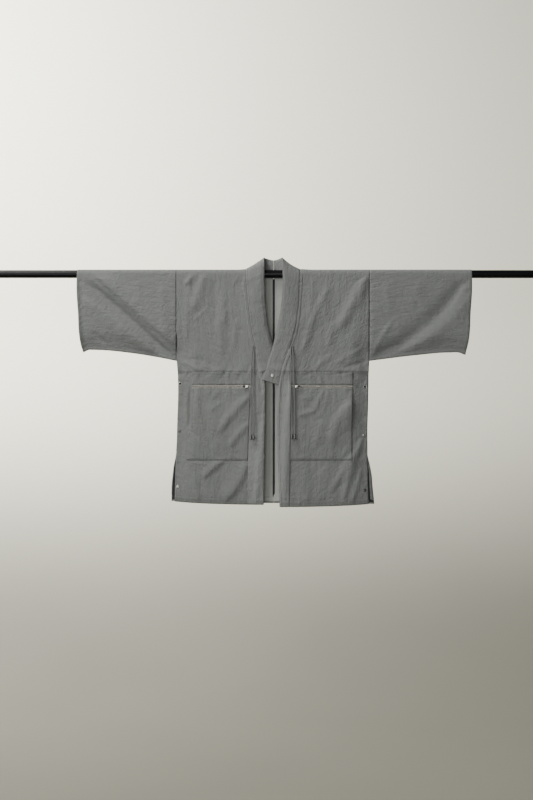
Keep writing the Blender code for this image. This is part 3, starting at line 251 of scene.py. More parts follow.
# Creases in millimetres, each a soft ridge from (x0, z0) to (x1, z1), or a trough where its height is
# negative. bow is how far its middle is carried to the side that faces up and to the left, lit is how
# far the cloth slopes on that side, and shade how far on the other.
Crease = namedtuple("Crease", "x0 z0 x1 z1 bow lit shade height")
FRONT_CREASES = {
    "left": [
        (-240, 10, -277, -34, 0, 8, 12, 4.4),
        (-212, 8, -258, -118, 0, 12, 20, 4),
        (-182, -14, -181, -160, 0, 14, 10, -2.2),
        (-206, -103, -252, -148, 0, 5, 6, 1.2),
        (-150, -108, -160, -155, 0, 8, 9, 1.6),
        (-112, -140, -126, -230, 4, 10, 12, 2),
        (-104, 6, -128, -34, 0, 4, 5, 1.6),
        (-101, 10, -101, -40, 0, 4, 4, -1.4),
        (-286, -271, -228, -298, 0, 7, 9, 3),
        (-262, -262, -190, -285, 4, 8, 8, -1.8),
        (-265, -20, -272, -200, 0, 10, 12, 1.8),
        (-160, -60, -166, -260, 4, 12, 16, 2),
        (-78, -378, -170, -484, 5, 14, 13, 4.8),
        (-79, -462, -140, -532, 4, 10, 13, 3.6),
        (-163, -350, -192, -386, 0, 6, 7, 1.8),
        (-163, -395, -199, -423, 0, 6, 7, 1.5),
        (-196, -395, -188, -495, 0, 20, 18, 2.6),
        (-240, -365, -236, -440, 0, 8, 10, 1.6),
        (-259, -352, -262.5, -474, 0, 6, 7, -6.4),
        (-160, -578, -220, -630, 4, 17, 10, 5),
        (-85, -583, -152, -700, -8, 28, 12, 6.2),
        (-254, -584, -209, -588, 0, 6, 8, 1.8),
        (-250, -620, -236, -705, 0, 12, 14, 2.6),
        (-37, -455, -60, -705, -4, 12, 14, 4.5),
        (-55, -330, -50, -440, 0, 8, 10, 1.8),
    ],
    "right": [
        (292, 4, 196, -170, 0, 16, 26, 7.2),
        (286, 3, 249, -27, 0, 5, 6, -3.6),
        (163, -46, 88, -240, 7, 11, 15, 3.4),
        (232, -305.5, 188, -309, 0, 4, 4, -2.4),
        (184, -146, 162, -232, 0, 10, 12, 2.6),
        (158, -30, 156, -140, 0, 10, 12, 2),
        (268, -232, 188, -275, 0, 9, 10, 2.6),
        (286, -267, 212, -292, 0, 7, 9, -3.2),
        (172, -250, 124, -293, 0, 8, 10, 2.2),
        (118, -20, 112, -170, 4, 12, 14, 2),
        (262, -120, 236, -240, 0, 18, 20, 2.2),
        (58, -310, 30, -705, 7, 14, 16, 6.2),
        (74, -436, 121, -424, 0, 8, 8, 3),
        (79, -385, 118, -380, 0, 8, 9, 1.8),
        (151, -361, 118, -430, 0, 6, 7, 2),
        (166, -365, 150, -420, 0, 7, 8, 1.4),
        (242, -398, 170, -525, 14, 14, 30, 5.5),
        (152, -455, 130, -525, 0, 20, 20, 2.2),
        (225, -530, 212, -565, 0, 7, 8, 1.6),
        (241, -558, 174, -672, 0, 10, 13, 3.4),
        (272, -512, 212, -705, 8, 12, 13, 4.6),
        (268, -605, 240, -705, 0, 8, 10, 3),
        (150, -600, 140, -705, 0, 20, 22, 2.2),
        (95, -600, 98, -705, 0, 18, 20, 1.6),
    ],
}
BACK_CREASES = {
    "left": [
        (-282, -12, -170, -215, 8, 16, 20, 6),
        (-150, -40, -118, -250, 6, 12, 15, 3),
        (-70, -100, -85, -700, 6, 30, 26, 5),
        (-190, -300, -205, -705, -6, 26, 30, 6),
        (-284, -262, -180, -315, 4, 9, 11, 3.4),
        (-250, -330, -140, -460, 10, 13, 18, 3),
        (-128, -480, -142, -700, 4, 13, 16, 2.8),
        (-262, -560, -248, -700, 0, 12, 15, 3.2),
        (-36, -60, -44, -330, 3, 10, 12, 1.6),
    ],
    "right": [
        (284, -10, 176, -190, 6, 15, 21, 6.2),
        (142, -50, 124, -230, 4, 12, 14, 2.6),
        (80, -100, 70, -700, 6, 26, 30, 5),
        (200, -280, 185, -705, 0, 30, 26, 6),
        (288, -264, 196, -300, 0, 8, 10, 3),
        (262, -345, 150, -520, 12, 14, 22, 3.6),
        (132, -430, 118, -700, 5, 13, 16, 2.6),
        (268, -540, 244, -700, 4, 11, 14, 3),
        (30, -80, 36, -300, 2, 10, 12, 1.6),
    ],
}
SLEEVE_CREASES = {
    "left": {
        "front": [
            (-592, -12, -318, -256, 2, 12, 20, -10.5),
            (-560, 4, -312, -214, 2, 36, 13, 8),
            (-596, -75, -352, -262, 6, 15, 36, 6.6),
            (-560, -180, -520, -215, 0, 8, 12, -3),
            (-350, -30, -335, -200, 0, 14, 16, 1.8),
            (-430, -20, -410, -100, 0, 16, 18, 1.2),
            (-596, -4, -572, -16, 0, 4, 5, -1.6),
            (-500, -10, -486, -50, 0, 8, 10, 1),
        ],
        "back": [
            (-598, -10, -330, -250, -12, 18, 34, -6),
            (-570, -130, -440, -212, 0, 30, 30, 3.4),
            (-400, -20, -372, -150, 0, 16, 18, 2.4),
        ],
    },
    "right": {
        "front": [
            (592, -10, 321, -252, -30, 28, 18, -8.5),
            (606, -60, 400, -236, -26, 16, 30, 3),
            (364, -146, 299, -262, 4, 8, 9, 2.4),
            (450, -20, 430, -90, 0, 18, 20, 1.2),
            (588, 2, 560, -14, 0, 5, 6, -1.8),
            (345, -30, 352, -130, 0, 14, 16, 1.4),
        ],
        "back": [
            (596, -6, 326, -250, -20, 24, 20, -7),
            (590, -80, 420, -215, -10, 18, 28, 3),
            (400, -30, 352, -170, 0, 14, 18, 2.4),
        ],
    },
}
UP_AND_LEFT = np.array((-0.35, 0.94))

# How far the creases reach into the rod's turn, and how flat the cloth lies against the rod.
CREASE_START_Z = 0.006
CREASE_FADE = 0.024
ROD_CLEAR_START_Z = -0.014
ROD_CLEAR_FADE = 0.050
DEEPEST_TROUGH = 0.012

# The colours of the cloths, the tapes and the metals.
CLOTH_COLOUR = (0.243, 0.247, 0.233)
# The inside is the coat's own cloth made far lighter: painted light in the coat's shaded inside.
CLOTH_INSIDE_LIT_COLOUR = (0.550, 0.543, 0.506)
# The band's cloth is made lighter than the coat's own: painted light on the band.
CLOTH_BAND_LIT_COLOUR = (0.300, 0.305, 0.288)
# Dark tape; inside the vents it is also painted shadow.
DARK_TAPE_AND_SHADOW_COLOUR = (0.030, 0.031, 0.032)
ZIP_TAPE_COLOUR = (0.345, 0.325, 0.298)
NICKEL_COLOUR = (0.72, 0.69, 0.64)
DULL_NICKEL_COLOUR = (0.60, 0.575, 0.535)
GUNMETAL_COLOUR = (0.165, 0.160, 0.154)
ENAMEL_COLOUR = (0.020, 0.020, 0.020)
# The eyelets' holes are dark discs: painted shade.
HOLE_SHADE_COLOUR = (0.010, 0.010, 0.010)
THREAD_COLOURS = ((0.060, 0.064, 0.066), (0.110, 0.116, 0.118))
CORD_COLOURS = ((0.150, 0.155, 0.150), (0.235, 0.240, 0.232))
ROD_COLOURS = ((0.005, 0.005, 0.006), (0.009, 0.009, 0.010))

# The camera: level, and at the height and the distance that give the photo's outline.
CAMERA_PLACE = (-0.0248, -4.0, -0.390)
CAMERA_LENS = 58.1
CAMERA_SENSOR = 36.0

# The studio behind and below the coat.
FLOOR_Z = -2.2
WALL_Y = 5.6
SWEEP_RADIUS = 2.6
STAGE_HALF_WIDTH = 9.0
WALL_TOP_Z = 7.0
SWEEP_STEPS = 24
# The wall's colour darkens from its own pale colour high up to painted shade low down.
STAGE_SHADED = (0.140, 0.137, 0.117)
STAGE_HIGH = (0.820, 0.806, 0.685)
STAGE_FRONT_Y = -5.0
STAGE_UNSHADED_FROM_Z = 0.4

# The soft lights: a key from high on the left, a fill, one from the front, and one on the wall. spread
# is in degrees.
Light = namedtuple("Light", "place target size energy colour spread")
LIGHTS = {
    "key": Light((-1.35, -1.10, 2.20), (0.0, 0.0, -0.35), 1.2, 62.0, (1.0, 0.99, 0.965), 180.0),
    "fill": Light((-2.2, -2.8, 0.5), (0.0, 0.0, -0.35), 1.8, 40.0, (1.0, 1.0, 0.99), 180.0),
    "front": Light((-0.5, -4.6, -0.4), (0.0, 0.0, -0.40), 1.5, 42.0, (1.0, 1.0, 0.98), 180.0),
    "wall": Light((-4.4, 2.2, 3.4), (-1.4, 5.6, 0.3), 2.2, 880.0, (1.0, 0.99, 0.945), 132.0),
}
ROOM_COLOUR = (0.95, 0.96, 1.0, 1.0)
ROOM_STRENGTH = 0.10

# The size that each piece of cloth was cut to: across, along and the flat area, hems included. The collar
# is stated as it is folded, double.
CUTS = {
    "front_cloth": {"left": (0.315, 0.775, 0.200), "right": (0.315, 0.780, 0.200)},
    "band_cloth": {"left": (0.070, 0.500, 0.029), "right": (0.062, 0.500, 0.025)},
    "strip_cloth": {"left": (0.200, 0.050, 0.0095), "right": (0.205, 0.050, 0.0095)},
    "bag_cloth": {"left": (0.210, 0.245, 0.047), "right": (0.205, 0.245, 0.047)},
    "back_cloth": {"left": (0.335, 0.780, 0.235), "right": (0.330, 0.785, 0.232)},
    "hem_facing": {"left": (0.312, 0.017, None), "right": (0.306, 0.017, None)},
    "vent_facing": {"left": (0.021, 0.140, None), "right": (0.021, 0.145, None)},
    "sleeve_cloth": {"left": (0.585, 0.335, 0.180), "right": (0.590, 0.345, 0.185)},
    "collar_cloth": {"left": (0.068, 0.480, 0.029), "right": (0.074, 0.500, 0.032)},
}
SEWN_ON = {
    "front_cloth": [
        "stitching_front_{}", "eyelet_{}_ring", "eyelet_{}_hole", "side_snap_{}_1_cap",
        "side_snap_{}_2_cap",
    ],
    "strip_cloth": ["tape_{}", "teeth_{}"],
    "bag_cloth": ["stitching_bag_{}"],
    "back_cloth": ["stitching_back_{}", "vent_socket_{}_cap"],
    "sleeve_cloth": ["stitching_sleeve_{}"],
    "collar_cloth": ["stitching_collar_{}"],
}

# Where the rows of stitches lie, by their distance from an edge, and how far the hems are turned.
HEM_TURN = 0.020
HEM_ROW = 0.0185
ARMHOLE_ROW = 0.0042
VENT_ROW = 0.0045
COLLAR_SEAM_ROWS = (0.0018, 0.0064)
BAND_EDGE_ROW = 0.0045
BAND_SEAM_ROW = 0.0022
STRIP_TOP_ROWS = (0.0020, 0.0055)
ZIP_ROW = 0.0022
BAG_TOP_ROW = 0.0022
BAG_BOTTOM_ROWS = (0.0020, 0.0062)
CENTRE_BACK_ROW = 0.0040

# Fineness of the shells' grids, and of the sewing.
GRID = 0.0037
SHELL = 0.0009
STITCH_PITCH = 0.0036
STITCH_LENGTH = 0.0028
STITCH_RADIUS = 0.00036


def smoothstep(t):
    """0 below 0, 1 above 1, and an even S-shaped rise between."""
    t = np.clip(t, 0.0, 1.0)
    return t * t * (3.0 - 2.0 * t)


def lookup(table, at):
    """A smooth curve through a table of (place, value) rows, level beyond its ends."""
    rows = sorted(table)
    x = np.array([row[0] for row in rows])
    y = np.array([row[1] for row in rows])
    step, rise = np.diff(x), np.diff(y) / np.diff(x)
    slope = np.empty_like(y)
    slope[0], slope[-1] = rise[0], rise[-1]
    slope[1:-1] = (step[1:] * rise[:-1] + step[:-1] * rise[1:]) / (step[1:] + step[:-1])
    at = np.clip(at, x[0], x[-1])
    k = np.clip(np.searchsorted(x, at, side="right") - 1, 0, len(step) - 1)
    t = (at - x[k]) / step[k]
    return (
        y[k] * (2 * t ** 3 - 3 * t ** 2 + 1) + slope[k] * step[k] * (t ** 3 - 2 * t ** 2 + t)
        + y[k + 1] * (3 * t ** 2 - 2 * t ** 3) + slope[k + 1] * step[k] * (t ** 3 - t ** 2)
    )


def unit(vectors):
    """The vectors, each made one long."""
    return vectors / np.linalg.norm(vectors, axis=-1, keepdims=True)


def lengths_along(line):
    """How far along a line each of its points lies."""
    return np.concatenate([[0.0], np.cumsum(np.linalg.norm(np.diff(line, axis=0), axis=1))])


def taken_at(at, length, rows):
    """A line's points, or its normals, taken at distances along it."""
    return np.stack([np.interp(at, length, rows[:, k]) for k in range(3)], axis=-1)


def unevenness(seed, u, v):
    """Smooth random heights between -1 and 1 over a plane, a new pattern for each seed."""
    size = 128
    table = np.random.default_rng(seed).uniform(-1.0, 1.0, (size, size))
    i, j = np.floor(u).astype(int), np.floor(v).astype(int)
    a, b = smoothstep(u - i), smoothstep(v - j)
    near = table[i % size, j % size] * (1 - b) + table[i % size, (j + 1) % size] * b
    far = table[(i + 1) % size, j % size] * (1 - b) + table[(i + 1) % size, (j + 1) % size] * b
    return near * (1 - a) + far * a


def crease_relief(creases, x, z):
    """How far the creases of a panel push its surface out at places on it."""
    total = np.zeros(np.broadcast(x, z).shape)
    for row in creases:
        crease = Crease(*(value / 1000 for value in row))
        start = np.array((crease.x0, crease.z0))
        along = np.array((crease.x1, crease.z1)) - start
        length = np.linalg.norm(along)
        across = np.array((-along[1], along[0])) / length
        across = across if across @ UP_AND_LEFT > 0 else -across
        share = ((x - start[0]) * along[0] + (z - start[1]) * along[1]) / length ** 2
        inner = np.clip(share, 0.0, 1.0)
        off = (x - start[0]) * across[0] + (z - start[1]) * across[1] - crease.bow * 4 * inner * (1 - inner)
        taper = 0.55 + 0.45 * np.sin(math.pi * inner)
        spread = np.where(off > 0, crease.lit, crease.shade) * taper
        reach = smoothstep((share + 0.12) / 0.3) * smoothstep((1.12 - share) / 0.3)
        total += crease.height * np.exp(-((off / spread) ** 2)) * reach
    return total


def side_edge(face, side, z):
    """The half width of the body at a height."""
    return lookup(SIDE_SEAM[side] + VENT_EDGE[face][side], z)


def edge_half_depth(face, z):
    """Half the distance between front and back along the armhole, the side seam and the vent."""
    closing = smoothstep((UNDERARM_Z + ARMHOLE_CLOSING - z) / ARMHOLE_CLOSING)
    depth = TURN_RADIUS + (UNDERARM_HALF_DEPTH - TURN_RADIUS) * closing
    settled = smoothstep((UNDERARM_Z - z) / SIDE_SEAM_SETTLES)
    depth = depth + (SIDE_SEAM_HALF_DEPTH - UNDERARM_HALF_DEPTH) * settled
    opened = smoothstep((VENT_TOP_Z - z) / (VENT_TOP_Z - HEM_Z["front"]["left"][0]))
    return depth + (VENT_HALF_DEPTH[face] - SIDE_SEAM_HALF_DEPTH) * opened


def neck_lift(x):
    """How far the collar holds the cloth off the rod near the neck."""
    full_to, fade = NECK_LIFT_REACH
    return NECK_LIFT * (1.0 - smoothstep((np.abs(x) - full_to) / fade))


def overlap_lift(face, side, x, z):
    """How far the right front's middle stands forward of the left one's."""
    if side == "left" or face == "back":
        return 0.0
    near = 1.0 - smoothstep((x - lookup(FRONT_EDGE[side], z)) / OVERLAP_LIFT_WIDTH)
    (top, rise), (bottom, fall) = OVERLAP_TOP, OVERLAP_BOTTOM
    level = smoothstep((top - z) / rise) * (1.0 - smoothstep((bottom - z) / fall))
    return OVERLAP_LIFT * near * level


def puckers(seed, along, away, pitch, reach, height):
    """Small gathers that start at a sewn line and fade with the distance from it."""
    wave = unevenness(seed, along / pitch, away / (3 * reach))
    fine = unevenness(seed + 1, along / (0.45 * pitch), away / (2 * reach))
    return height * (0.7 * wave + 0.3 * fine) * np.exp(-np.abs(away) / reach)


def groove(away, width, depth):
    """The dip along a sewn line."""
    return -depth * np.exp(-((away / width) ** 2))


def hem_height(face, side, share):
    """The hem's height at a share of the half width, from the middle out."""
    middle, edge = HEM_Z[face][side]
    return middle + (edge - middle) * share ** 2.5


def height_at(drop):
    """The height of the cloth at a distance down it from the top of the rod."""
    return np.where(drop < QUARTER, TURN_RADIUS * np.cos(drop / TURN_RADIUS), QUARTER - drop)


def kept_off_rod(relief, flat_z):
    """The relief faded out over the rod's turn, with no trough that would reach the rod."""
    relief = relief * smoothstep((CREASE_START_Z - flat_z) / CREASE_FADE)
    deepest = -DEEPEST_TROUGH * smoothstep((ROD_CLEAR_START_Z - flat_z) / ROD_CLEAR_FADE)
    return np.maximum(relief, deepest)


def over_rod(face, x, drop, radius, depth):
    """Points of cloth that turns over the rod at a radius, and then hangs at a depth."""
    turn = np.minimum(drop, QUARTER) / TURN_RADIUS
    y = np.where(drop < QUARTER, radius * np.sin(turn), depth)
    z = np.where(drop < QUARTER, radius * np.cos(turn), QUARTER - drop)
    return np.stack(np.broadcast_arrays(x, FACING[face] * y, z), axis=-1)


def body_relief(face, side, x, flat_z):
    """The creases, gathers and seams of a body panel. flat_z runs on up over the rod's turn."""
    z = np.minimum(flat_z, 0.0)
    seed = {"front": 100, "back": 300}[face] + {"left": 0, "right": 50}[side]
    creases = (FRONT_CREASES if face == "front" else BACK_CREASES)[side]
    from_side = side_edge(face, side, z) - np.abs(x)
    relief = crease_relief(creases, x, flat_z) * smoothstep((from_side + 0.006) / 0.030)
    hanging = smoothstep((-0.02 - z) / 0.2)
    relief += 0.0011 * hanging * unevenness(seed, x / 0.034, z / 0.120)
    relief += 0.00045 * unevenness(seed + 2, x / 0.011, z / 0.050)
    relief += 0.00025 * unevenness(seed + 3, (x + 0.5 * z) / 0.009, z / 0.018)
    low = 0.35 + 0.65 * smoothstep((-0.02 - z) / 0.16)
    relief += puckers(seed + 5, z, from_side, 0.012, 0.016, 0.0015) * low
    below_arm = smoothstep((UNDERARM_Z + 0.03 - z) / 0.03)
    relief += groove(from_side, 0.0032, 0.0020) * (1.0 - 0.75 * below_arm)
    hem = z - hem_height(face, side, np.clip(np.abs(x) / side_edge(face, side, z), 0.0, 1.0))
    relief += groove(hem - HEM_TURN, 0.0026, 0.0007)
    relief += puckers(seed + 7, x, hem - HEM_TURN, 0.016, 0.016, 0.0008)
    relief -= 0.0022 * smoothstep((0.016 - hem) / 0.016)
    if face == "front":
        relief += front_seams(side, seed, x, z)
    return kept_off_rod(relief, flat_z)


def front_seams(side, seed, x, z):
    """The raised seam along the collar, and the gathers along the band and the waist."""
    sign = SIGN[side]
    edge, band = lookup(FRONT_EDGE[side], z), lookup(BAND_LINE[side], z)
    from_edge = sign * (x - edge)
    under_collar = smoothstep((z - COLLAR_END_Z[side]) / 0.012)
    ridge = 0.0018 * (1.0 - smoothstep((from_edge - 0.0072) / 0.0028))
    relief = ridge * under_collar + puckers(seed + 11, z, from_edge, 0.024, 0.016, 0.0009) * under_collar
    relief += 0.0009 * np.exp(-((from_edge - 0.003) / 0.003) ** 2) * (1.0 - under_collar)
    from_band = sign * (x - band)
    below = smoothstep((BAND_START_Z - z) / 0.010)
    relief += puckers(seed + 13, z, from_band, 0.020, 0.012, 0.0007) * below
    waist = z - STRIP_TOP_Z
    slant = x + SIGN[side] * 0.5 * waist
    relief += puckers(seed + 17, slant, waist, 0.011, 0.024, 0.0031)
    relief += 0.0030 * smoothstep(waist / 0.0045) * np.exp(-np.maximum(waist, 0.0) / 0.028)
    relief += puckers(seed + 23, x, z - BAG_TOP_Z, 0.013, 0.020, 0.0021)
    relief += puckers(seed + 29, x, z - BAG_BOTTOM_Z, 0.016, 0.014, 0.0012)
    in_strip = smoothstep(-waist / 0.006) * smoothstep((z - ZIP_TOP_Z + 0.004) / 0.008)
    return relief + 0.0010 * in_strip * unevenness(seed + 19, x / 0.011, z / 0.020)


def body_depth(face, side, x, z):
    """How far the plain body hangs in front of, or behind, the rod's axis."""
    width = side_edge(face, side, z)
    closing = smoothstep((np.abs(x) - width + CLOSING_WIDTH) / CLOSING_WIDTH)
    full = TURN_RADIUS + neck_lift(x)
    depth = full + (edge_half_depth(face, z) - full) * closing
    return depth + overlap_lift(face, side, x, z)


def body_surface(face, side, x, drop):
    """Points on a body panel, at distances down the cloth from the top of the rod."""
    flat_z = QUARTER - drop
    relief = body_relief(face, side, x, flat_z)
    depth = body_depth(face, side, x, np.minimum(flat_z, 0.0)) + relief
    return over_rod(face, x, drop, TURN_RADIUS + neck_lift(x) + relief, depth)


def front_across(side, share, z):
    """The x of a share of the way across a front: 0 is its edge, 1 the band's seam, 2 the side."""
    edge, band = lookup(FRONT_EDGE[side], z), lookup(BAND_LINE[side], z)
    outer = SIGN[side] * (side_edge("front", side, z) - SEAM_GAP / 2)
    return np.where(share < 1, edge + (band - edge) * share, band + (outer - band) * (share - 1))


def front_surface(side, share, drop):
    """Points on a front at shares across it and distances down it."""
    return body_surface("front", side, front_across(side, share, height_at(drop)), drop)


def normals_of(points, outward):
    """Unit normals of a grid of points. outward is a rough direction that they shall face."""
    down = np.gradient(points, axis=0)
    along = np.gradient(points, axis=1)
    normals = unit(np.cross(along, down))
    middle = normals[len(normals) // 2, normals.shape[1] // 2]
    return normals if middle @ np.array(outward) > 0 else -normals


def flat_lengths(points):
    """The cloth's own flat coordinates at a grid's points: metres across and metres down."""
    across = np.linalg.norm(np.diff(points, axis=1), axis=-1)
    down = np.linalg.norm(np.diff(points, axis=0), axis=-1)
    u = np.concatenate([np.zeros((len(points), 1)), np.cumsum(across, axis=1)], axis=1)
    v = np.concatenate([np.zeros((1, points.shape[1])), np.cumsum(down, axis=0)], axis=0)
    return np.stack([u, v], axis=-1)


def link_mesh(name, points, faces, looks):
    """An object from points and faces, shaded smooth."""
    mesh = bpy.data.meshes.new(name)
    mesh.from_pydata(points.tolist(), [], faces)
    for look in looks:
        mesh.materials.append(look)
    mesh.shade_smooth()
    made = bpy.data.objects.new(name, mesh)
    bpy.context.scene.collection.objects.link(made)
    return made


def add_mesh(name, points, faces, looks, flat=None):
    """An object from those points that its faces use, with its flat coordinates as a UV map."""
    faces = np.asarray(faces)
    used, remade = np.unique(faces, return_inverse=True)
    made = link_mesh(name, points[used], remade.reshape(faces.shape).tolist(), looks)
    if flat is not None:
        layer = made.data.uv_layers.new(name="flat")
        layer.data.foreach_set("uv", flat.reshape(-1))
    return made


def settle(piece, slot, *nodes):
    """Hangs a piece on the coat's body and hides the solids that it stands for. slot is not used."""
    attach(piece, "coat")
    if nodes:
        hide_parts(*nodes)


def add_shell(name, points, looks, outward, thickness=SHELL, ring=False, keep=None, nodes=()):
    """A cloth shell over a grid of points, with the second look on its inside.

    ring closes each row on itself, keep says which cells are cloth, and nodes are the solids that it
    stands for.
    """
    rows, columns = points.shape[:2]
    closed = np.concatenate([points, points[:, :1]], axis=1) if ring else points
    flat = flat_lengths(closed)
    i, j = np.meshgrid(np.arange(rows - 1), np.arange(closed.shape[1] - 1), indexing="ij")
    corners = [(i, j), (i, j + 1), (i + 1, j + 1), (i + 1, j)]
    quads = np.stack([a * columns + b % columns for a, b in corners], axis=-1)
    uvs = np.stack([flat[a, b] for a, b in corners], axis=-2)
    if keep is not None:
        quads, uvs = quads[keep], uvs[keep]
    quads, uvs = quads.reshape(-1, 4), uvs.reshape(-1, 4, 2)
    i, j = rows // 2, columns // 4
    facing = np.cross(points[i, j + 1] - points[i, j], points[i + 1, j] - points[i, j])
    if facing @ np.asarray(outward) < 0:
        quads, uvs = quads[:, ::-1], uvs[:, ::-1]
    made = add_mesh(name, points.reshape(-1, 3), quads, looks, uvs)
    solid = made.modifiers.new("Solidify", "SOLIDIFY")
    solid.thickness = thickness
    solid.offset = 0.0
    solid.material_offset = 1
    solid.use_quality_normals = True
    settle(made, "cloth", *nodes)
    return made


class Look:
    """A material built from nodes around its Principled shader."""

    def __init__(self, name, **sockets):
        self.material = bpy.data.materials.new(name)
        self.material.use_nodes = True
        self.tree = self.material.node_tree
        self.shader = self.tree.nodes["Principled BSDF"]
        self.fill(self.shader, {key.replace("_", " "): value for key, value in sockets.items()})

    def fill(self, node, inputs):
        """Sets a node's inputs to values, or links them to other nodes' outputs."""
        for name, value in inputs.items():
            if isinstance(value, bpy.types.NodeSocket):
                self.tree.links.new(value, node.inputs[name])
            else:
                node.inputs[name].default_value = value

    def node(self, kind, inputs=None, output=0, **settings):
        """Adds a node and gives back one of its outputs."""
        made = self.tree.nodes.new(kind)
        for name, value in settings.items():
            setattr(made, name, value)
        self.fill(made, inputs or {})
        return made.outputs[output]

    def place(self, scale=(1.0, 1.0, 1.0), flat=True, turn=0.0):
        """The cloth's flat coordinates, or the object's own ones, turned and stretched."""
        if flat:
            source = self.node("ShaderNodeUVMap", uv_map="flat")
        else:
            source = self.node("ShaderNodeTexCoord", output=3)
        if turn:
            source = self.node("ShaderNodeMapping", {"Vector": source, "Rotation": (0.0, 0.0, turn)})
        return self.node("ShaderNodeMapping", {"Vector": source, "Scale": scale})

    def noise(self, place, scale, detail=2.0, distortion=0.0, **settings):
        """A noise over the surface, between 0 and 1."""
        inputs = {"Vector": place, "Scale": scale, "Detail": detail, "Distortion": distortion}
        return self.node("ShaderNodeTexNoise", inputs, **settings)

    def weighted(self, *parts):
        """The sum of values, each times its weight."""
        total = 0.0
        for value, weight in parts:
            total = self.node("ShaderNodeMath", {0: value, 1: weight, 2: total}, operation="MULTIPLY_ADD")
        return total

    def between(self, share, low, high, start=0.25, end=0.75):
        """A colour between two colours, over a span of the share."""
        ramp = self.node("ShaderNodeValToRGB", {"Fac": share})
        elements = ramp.node.color_ramp.elements
        elements[0].color, elements[1].color = (*low, 1.0), (*high, 1.0)
        elements[0].position, elements[1].position = start, end
        return ramp

    def spread(self, share, low, high):
        """A 0 to 1 value carried to a range."""
        return self.node("ShaderNodeMapRange", {"Value": share, "To Min": low, "To Max": high})

    def relief(self, height, distance, strength=1.0):
        """Lets the surface rise and fall with a height between 0 and 1."""
        bump = self.node("ShaderNodeBump", {"Height": height, "Distance": distance, "Strength": strength})
        self.fill(self.shader, {"Normal": bump})


def shaded(colour, factor):
    """A colour made darker or lighter."""
    return tuple(channel * factor for channel in colour)


def cloth_look(name, colour, variation=0.07, crinkle=1.0):
    """Thin plain-woven cloth: threads both ways, slubs, and the crinkle of washed cloth."""
    look = Look(name, Roughness=0.72, Sheen_Weight=0.10, Sheen_Roughness=0.45, Specular_IOR_Level=0.28)
    place = look.place()
    slubs = look.noise(look.place((420.0, 15.0, 1.0)), 1.0, 3.0)
    wefts = look.noise(look.place((13.0, 460.0, 1.0)), 1.0, 3.0)
    broad = look.noise(place, 7.0, 4.0, 0.4)
    crinkles = look.noise(place, 150.0, 4.0, 1.2)
    wrinkles = look.noise(look.place((86.0, 17.0, 1.0)), 1.0, 3.0, 1.1)
    slanted = look.noise(look.place((26.0, 70.0, 1.0), turn=0.6), 1.0, 3.0, 0.9)
    creases = look.noise(look.place((1.0, 0.5, 1.0)), 42.0, 4.0, 0.7, noise_type="RIDGED_MULTIFRACTAL")
    warp = look.node("ShaderNodeTexWave", {"Vector": place, "Scale": 620.0}, 1, bands_direction="X")
    weft = look.node("ShaderNodeTexWave", {"Vector": place, "Scale": 620.0}, 1, bands_direction="Y")
    tone = look.weighted((broad, 0.40), (slubs, 0.26), (wefts, 0.20), (crinkles, 0.14))
    cool = (colour[0] * 0.955, colour[1] * 0.995, colour[2] * 1.045)
    base = look.between(tone, shaded(cool, 1.0 - variation), shaded(colour, 1.0 + variation))
    look.fill(look.shader, {"Base Color": base, "Roughness": look.spread(broad, 0.64, 0.80)})
    height = look.weighted(
        (wrinkles, 0.66 * crinkle), (slanted, 0.55 * crinkle), (crinkles, 0.50 * crinkle),
        (creases, 0.15 * crinkle), (slubs, 0.07), (wefts, 0.05), (warp, 0.012), (weft, 0.012),
    )
    look.relief(height, 0.0036)
    return look.material


def tape_look(name, colour):
    """A ribbed woven tape."""
    look = Look(name, Roughness=0.80, Sheen_Weight=0.10)
    wave = {"Vector": look.place(), "Scale": 330.0}
    ribs = look.node("ShaderNodeTexWave", wave, 1, bands_direction="DIAGONAL")
    base = look.between(look.noise(look.place(), 240.0, 3.0), shaded(colour, 0.86), shaded(colour, 1.12))
    look.fill(look.shader, {"Base Color": base})
    look.relief(ribs, 0.0002, 0.6)
    return look.material


def metal_look(name, colour, roughness, metallic=1.0, wear=0.08):
    """Plated or enamelled metal with faint scuffs."""
    look = Look(name, Metallic=metallic)
    place = look.place(flat=False)
    scuffs = look.noise(place, 900.0, 4.0, 0.4)
    wear_and_shade = look.noise(place, 260.0, 3.0)
    base = look.between(wear_and_shade, shaded(colour, 1.0 - wear), shaded(colour, 1.0 + wear))
    rough = look.spread(scuffs, roughness * 0.75, roughness * 1.3)
    look.fill(look.shader, {"Base Color": base, "Roughness": rough})
    look.relief(scuffs, 0.00006, 0.5)
    return look.material


def rod_look():
    """Smooth black paint with a faint orange-peel surface."""
    look = Look("rod_paint", Metallic=0.0, Specular_IOR_Level=0.25)
    place = look.place((0.25, 1.0, 1.0), flat=False)
    base = look.between(look.noise(place, 60.0, 3.0), *ROD_COLOURS)
    rough = look.spread(look.noise(place, 140.0, 3.0), 0.24, 0.36)
    look.fill(look.shader, {"Base Color": base, "Roughness": rough})
    look.relief(look.noise(place, 420.0, 2.0), 0.00008, 0.4)
    return look.material


def thread_look():
    """Grey sewing thread, twisted."""
    look = Look("thread", Roughness=0.62, Sheen_Weight=0.1)
    place = look.place(flat=False)
    base = look.between(look.noise(place, 500.0, 2.0), *THREAD_COLOURS)
    look.fill(look.shader, {"Base Color": base})
    look.relief(look.noise(place, 2600.0, 1.0), 0.00008, 0.6)
    return look.material


def cord_look():
    """Braided cord in the coat's own grey."""
    look = Look("cord_braid", Roughness=0.82, Sheen_Weight=0.15)
    place = look.place(flat=False)
    base = look.between(look.noise(place, 800.0, 3.0), *CORD_COLOURS)
    look.fill(look.shader, {"Base Color": base})
    look.relief(look.noise(place, 1800.0, 2.0), 0.0002, 0.5)
    return look.material


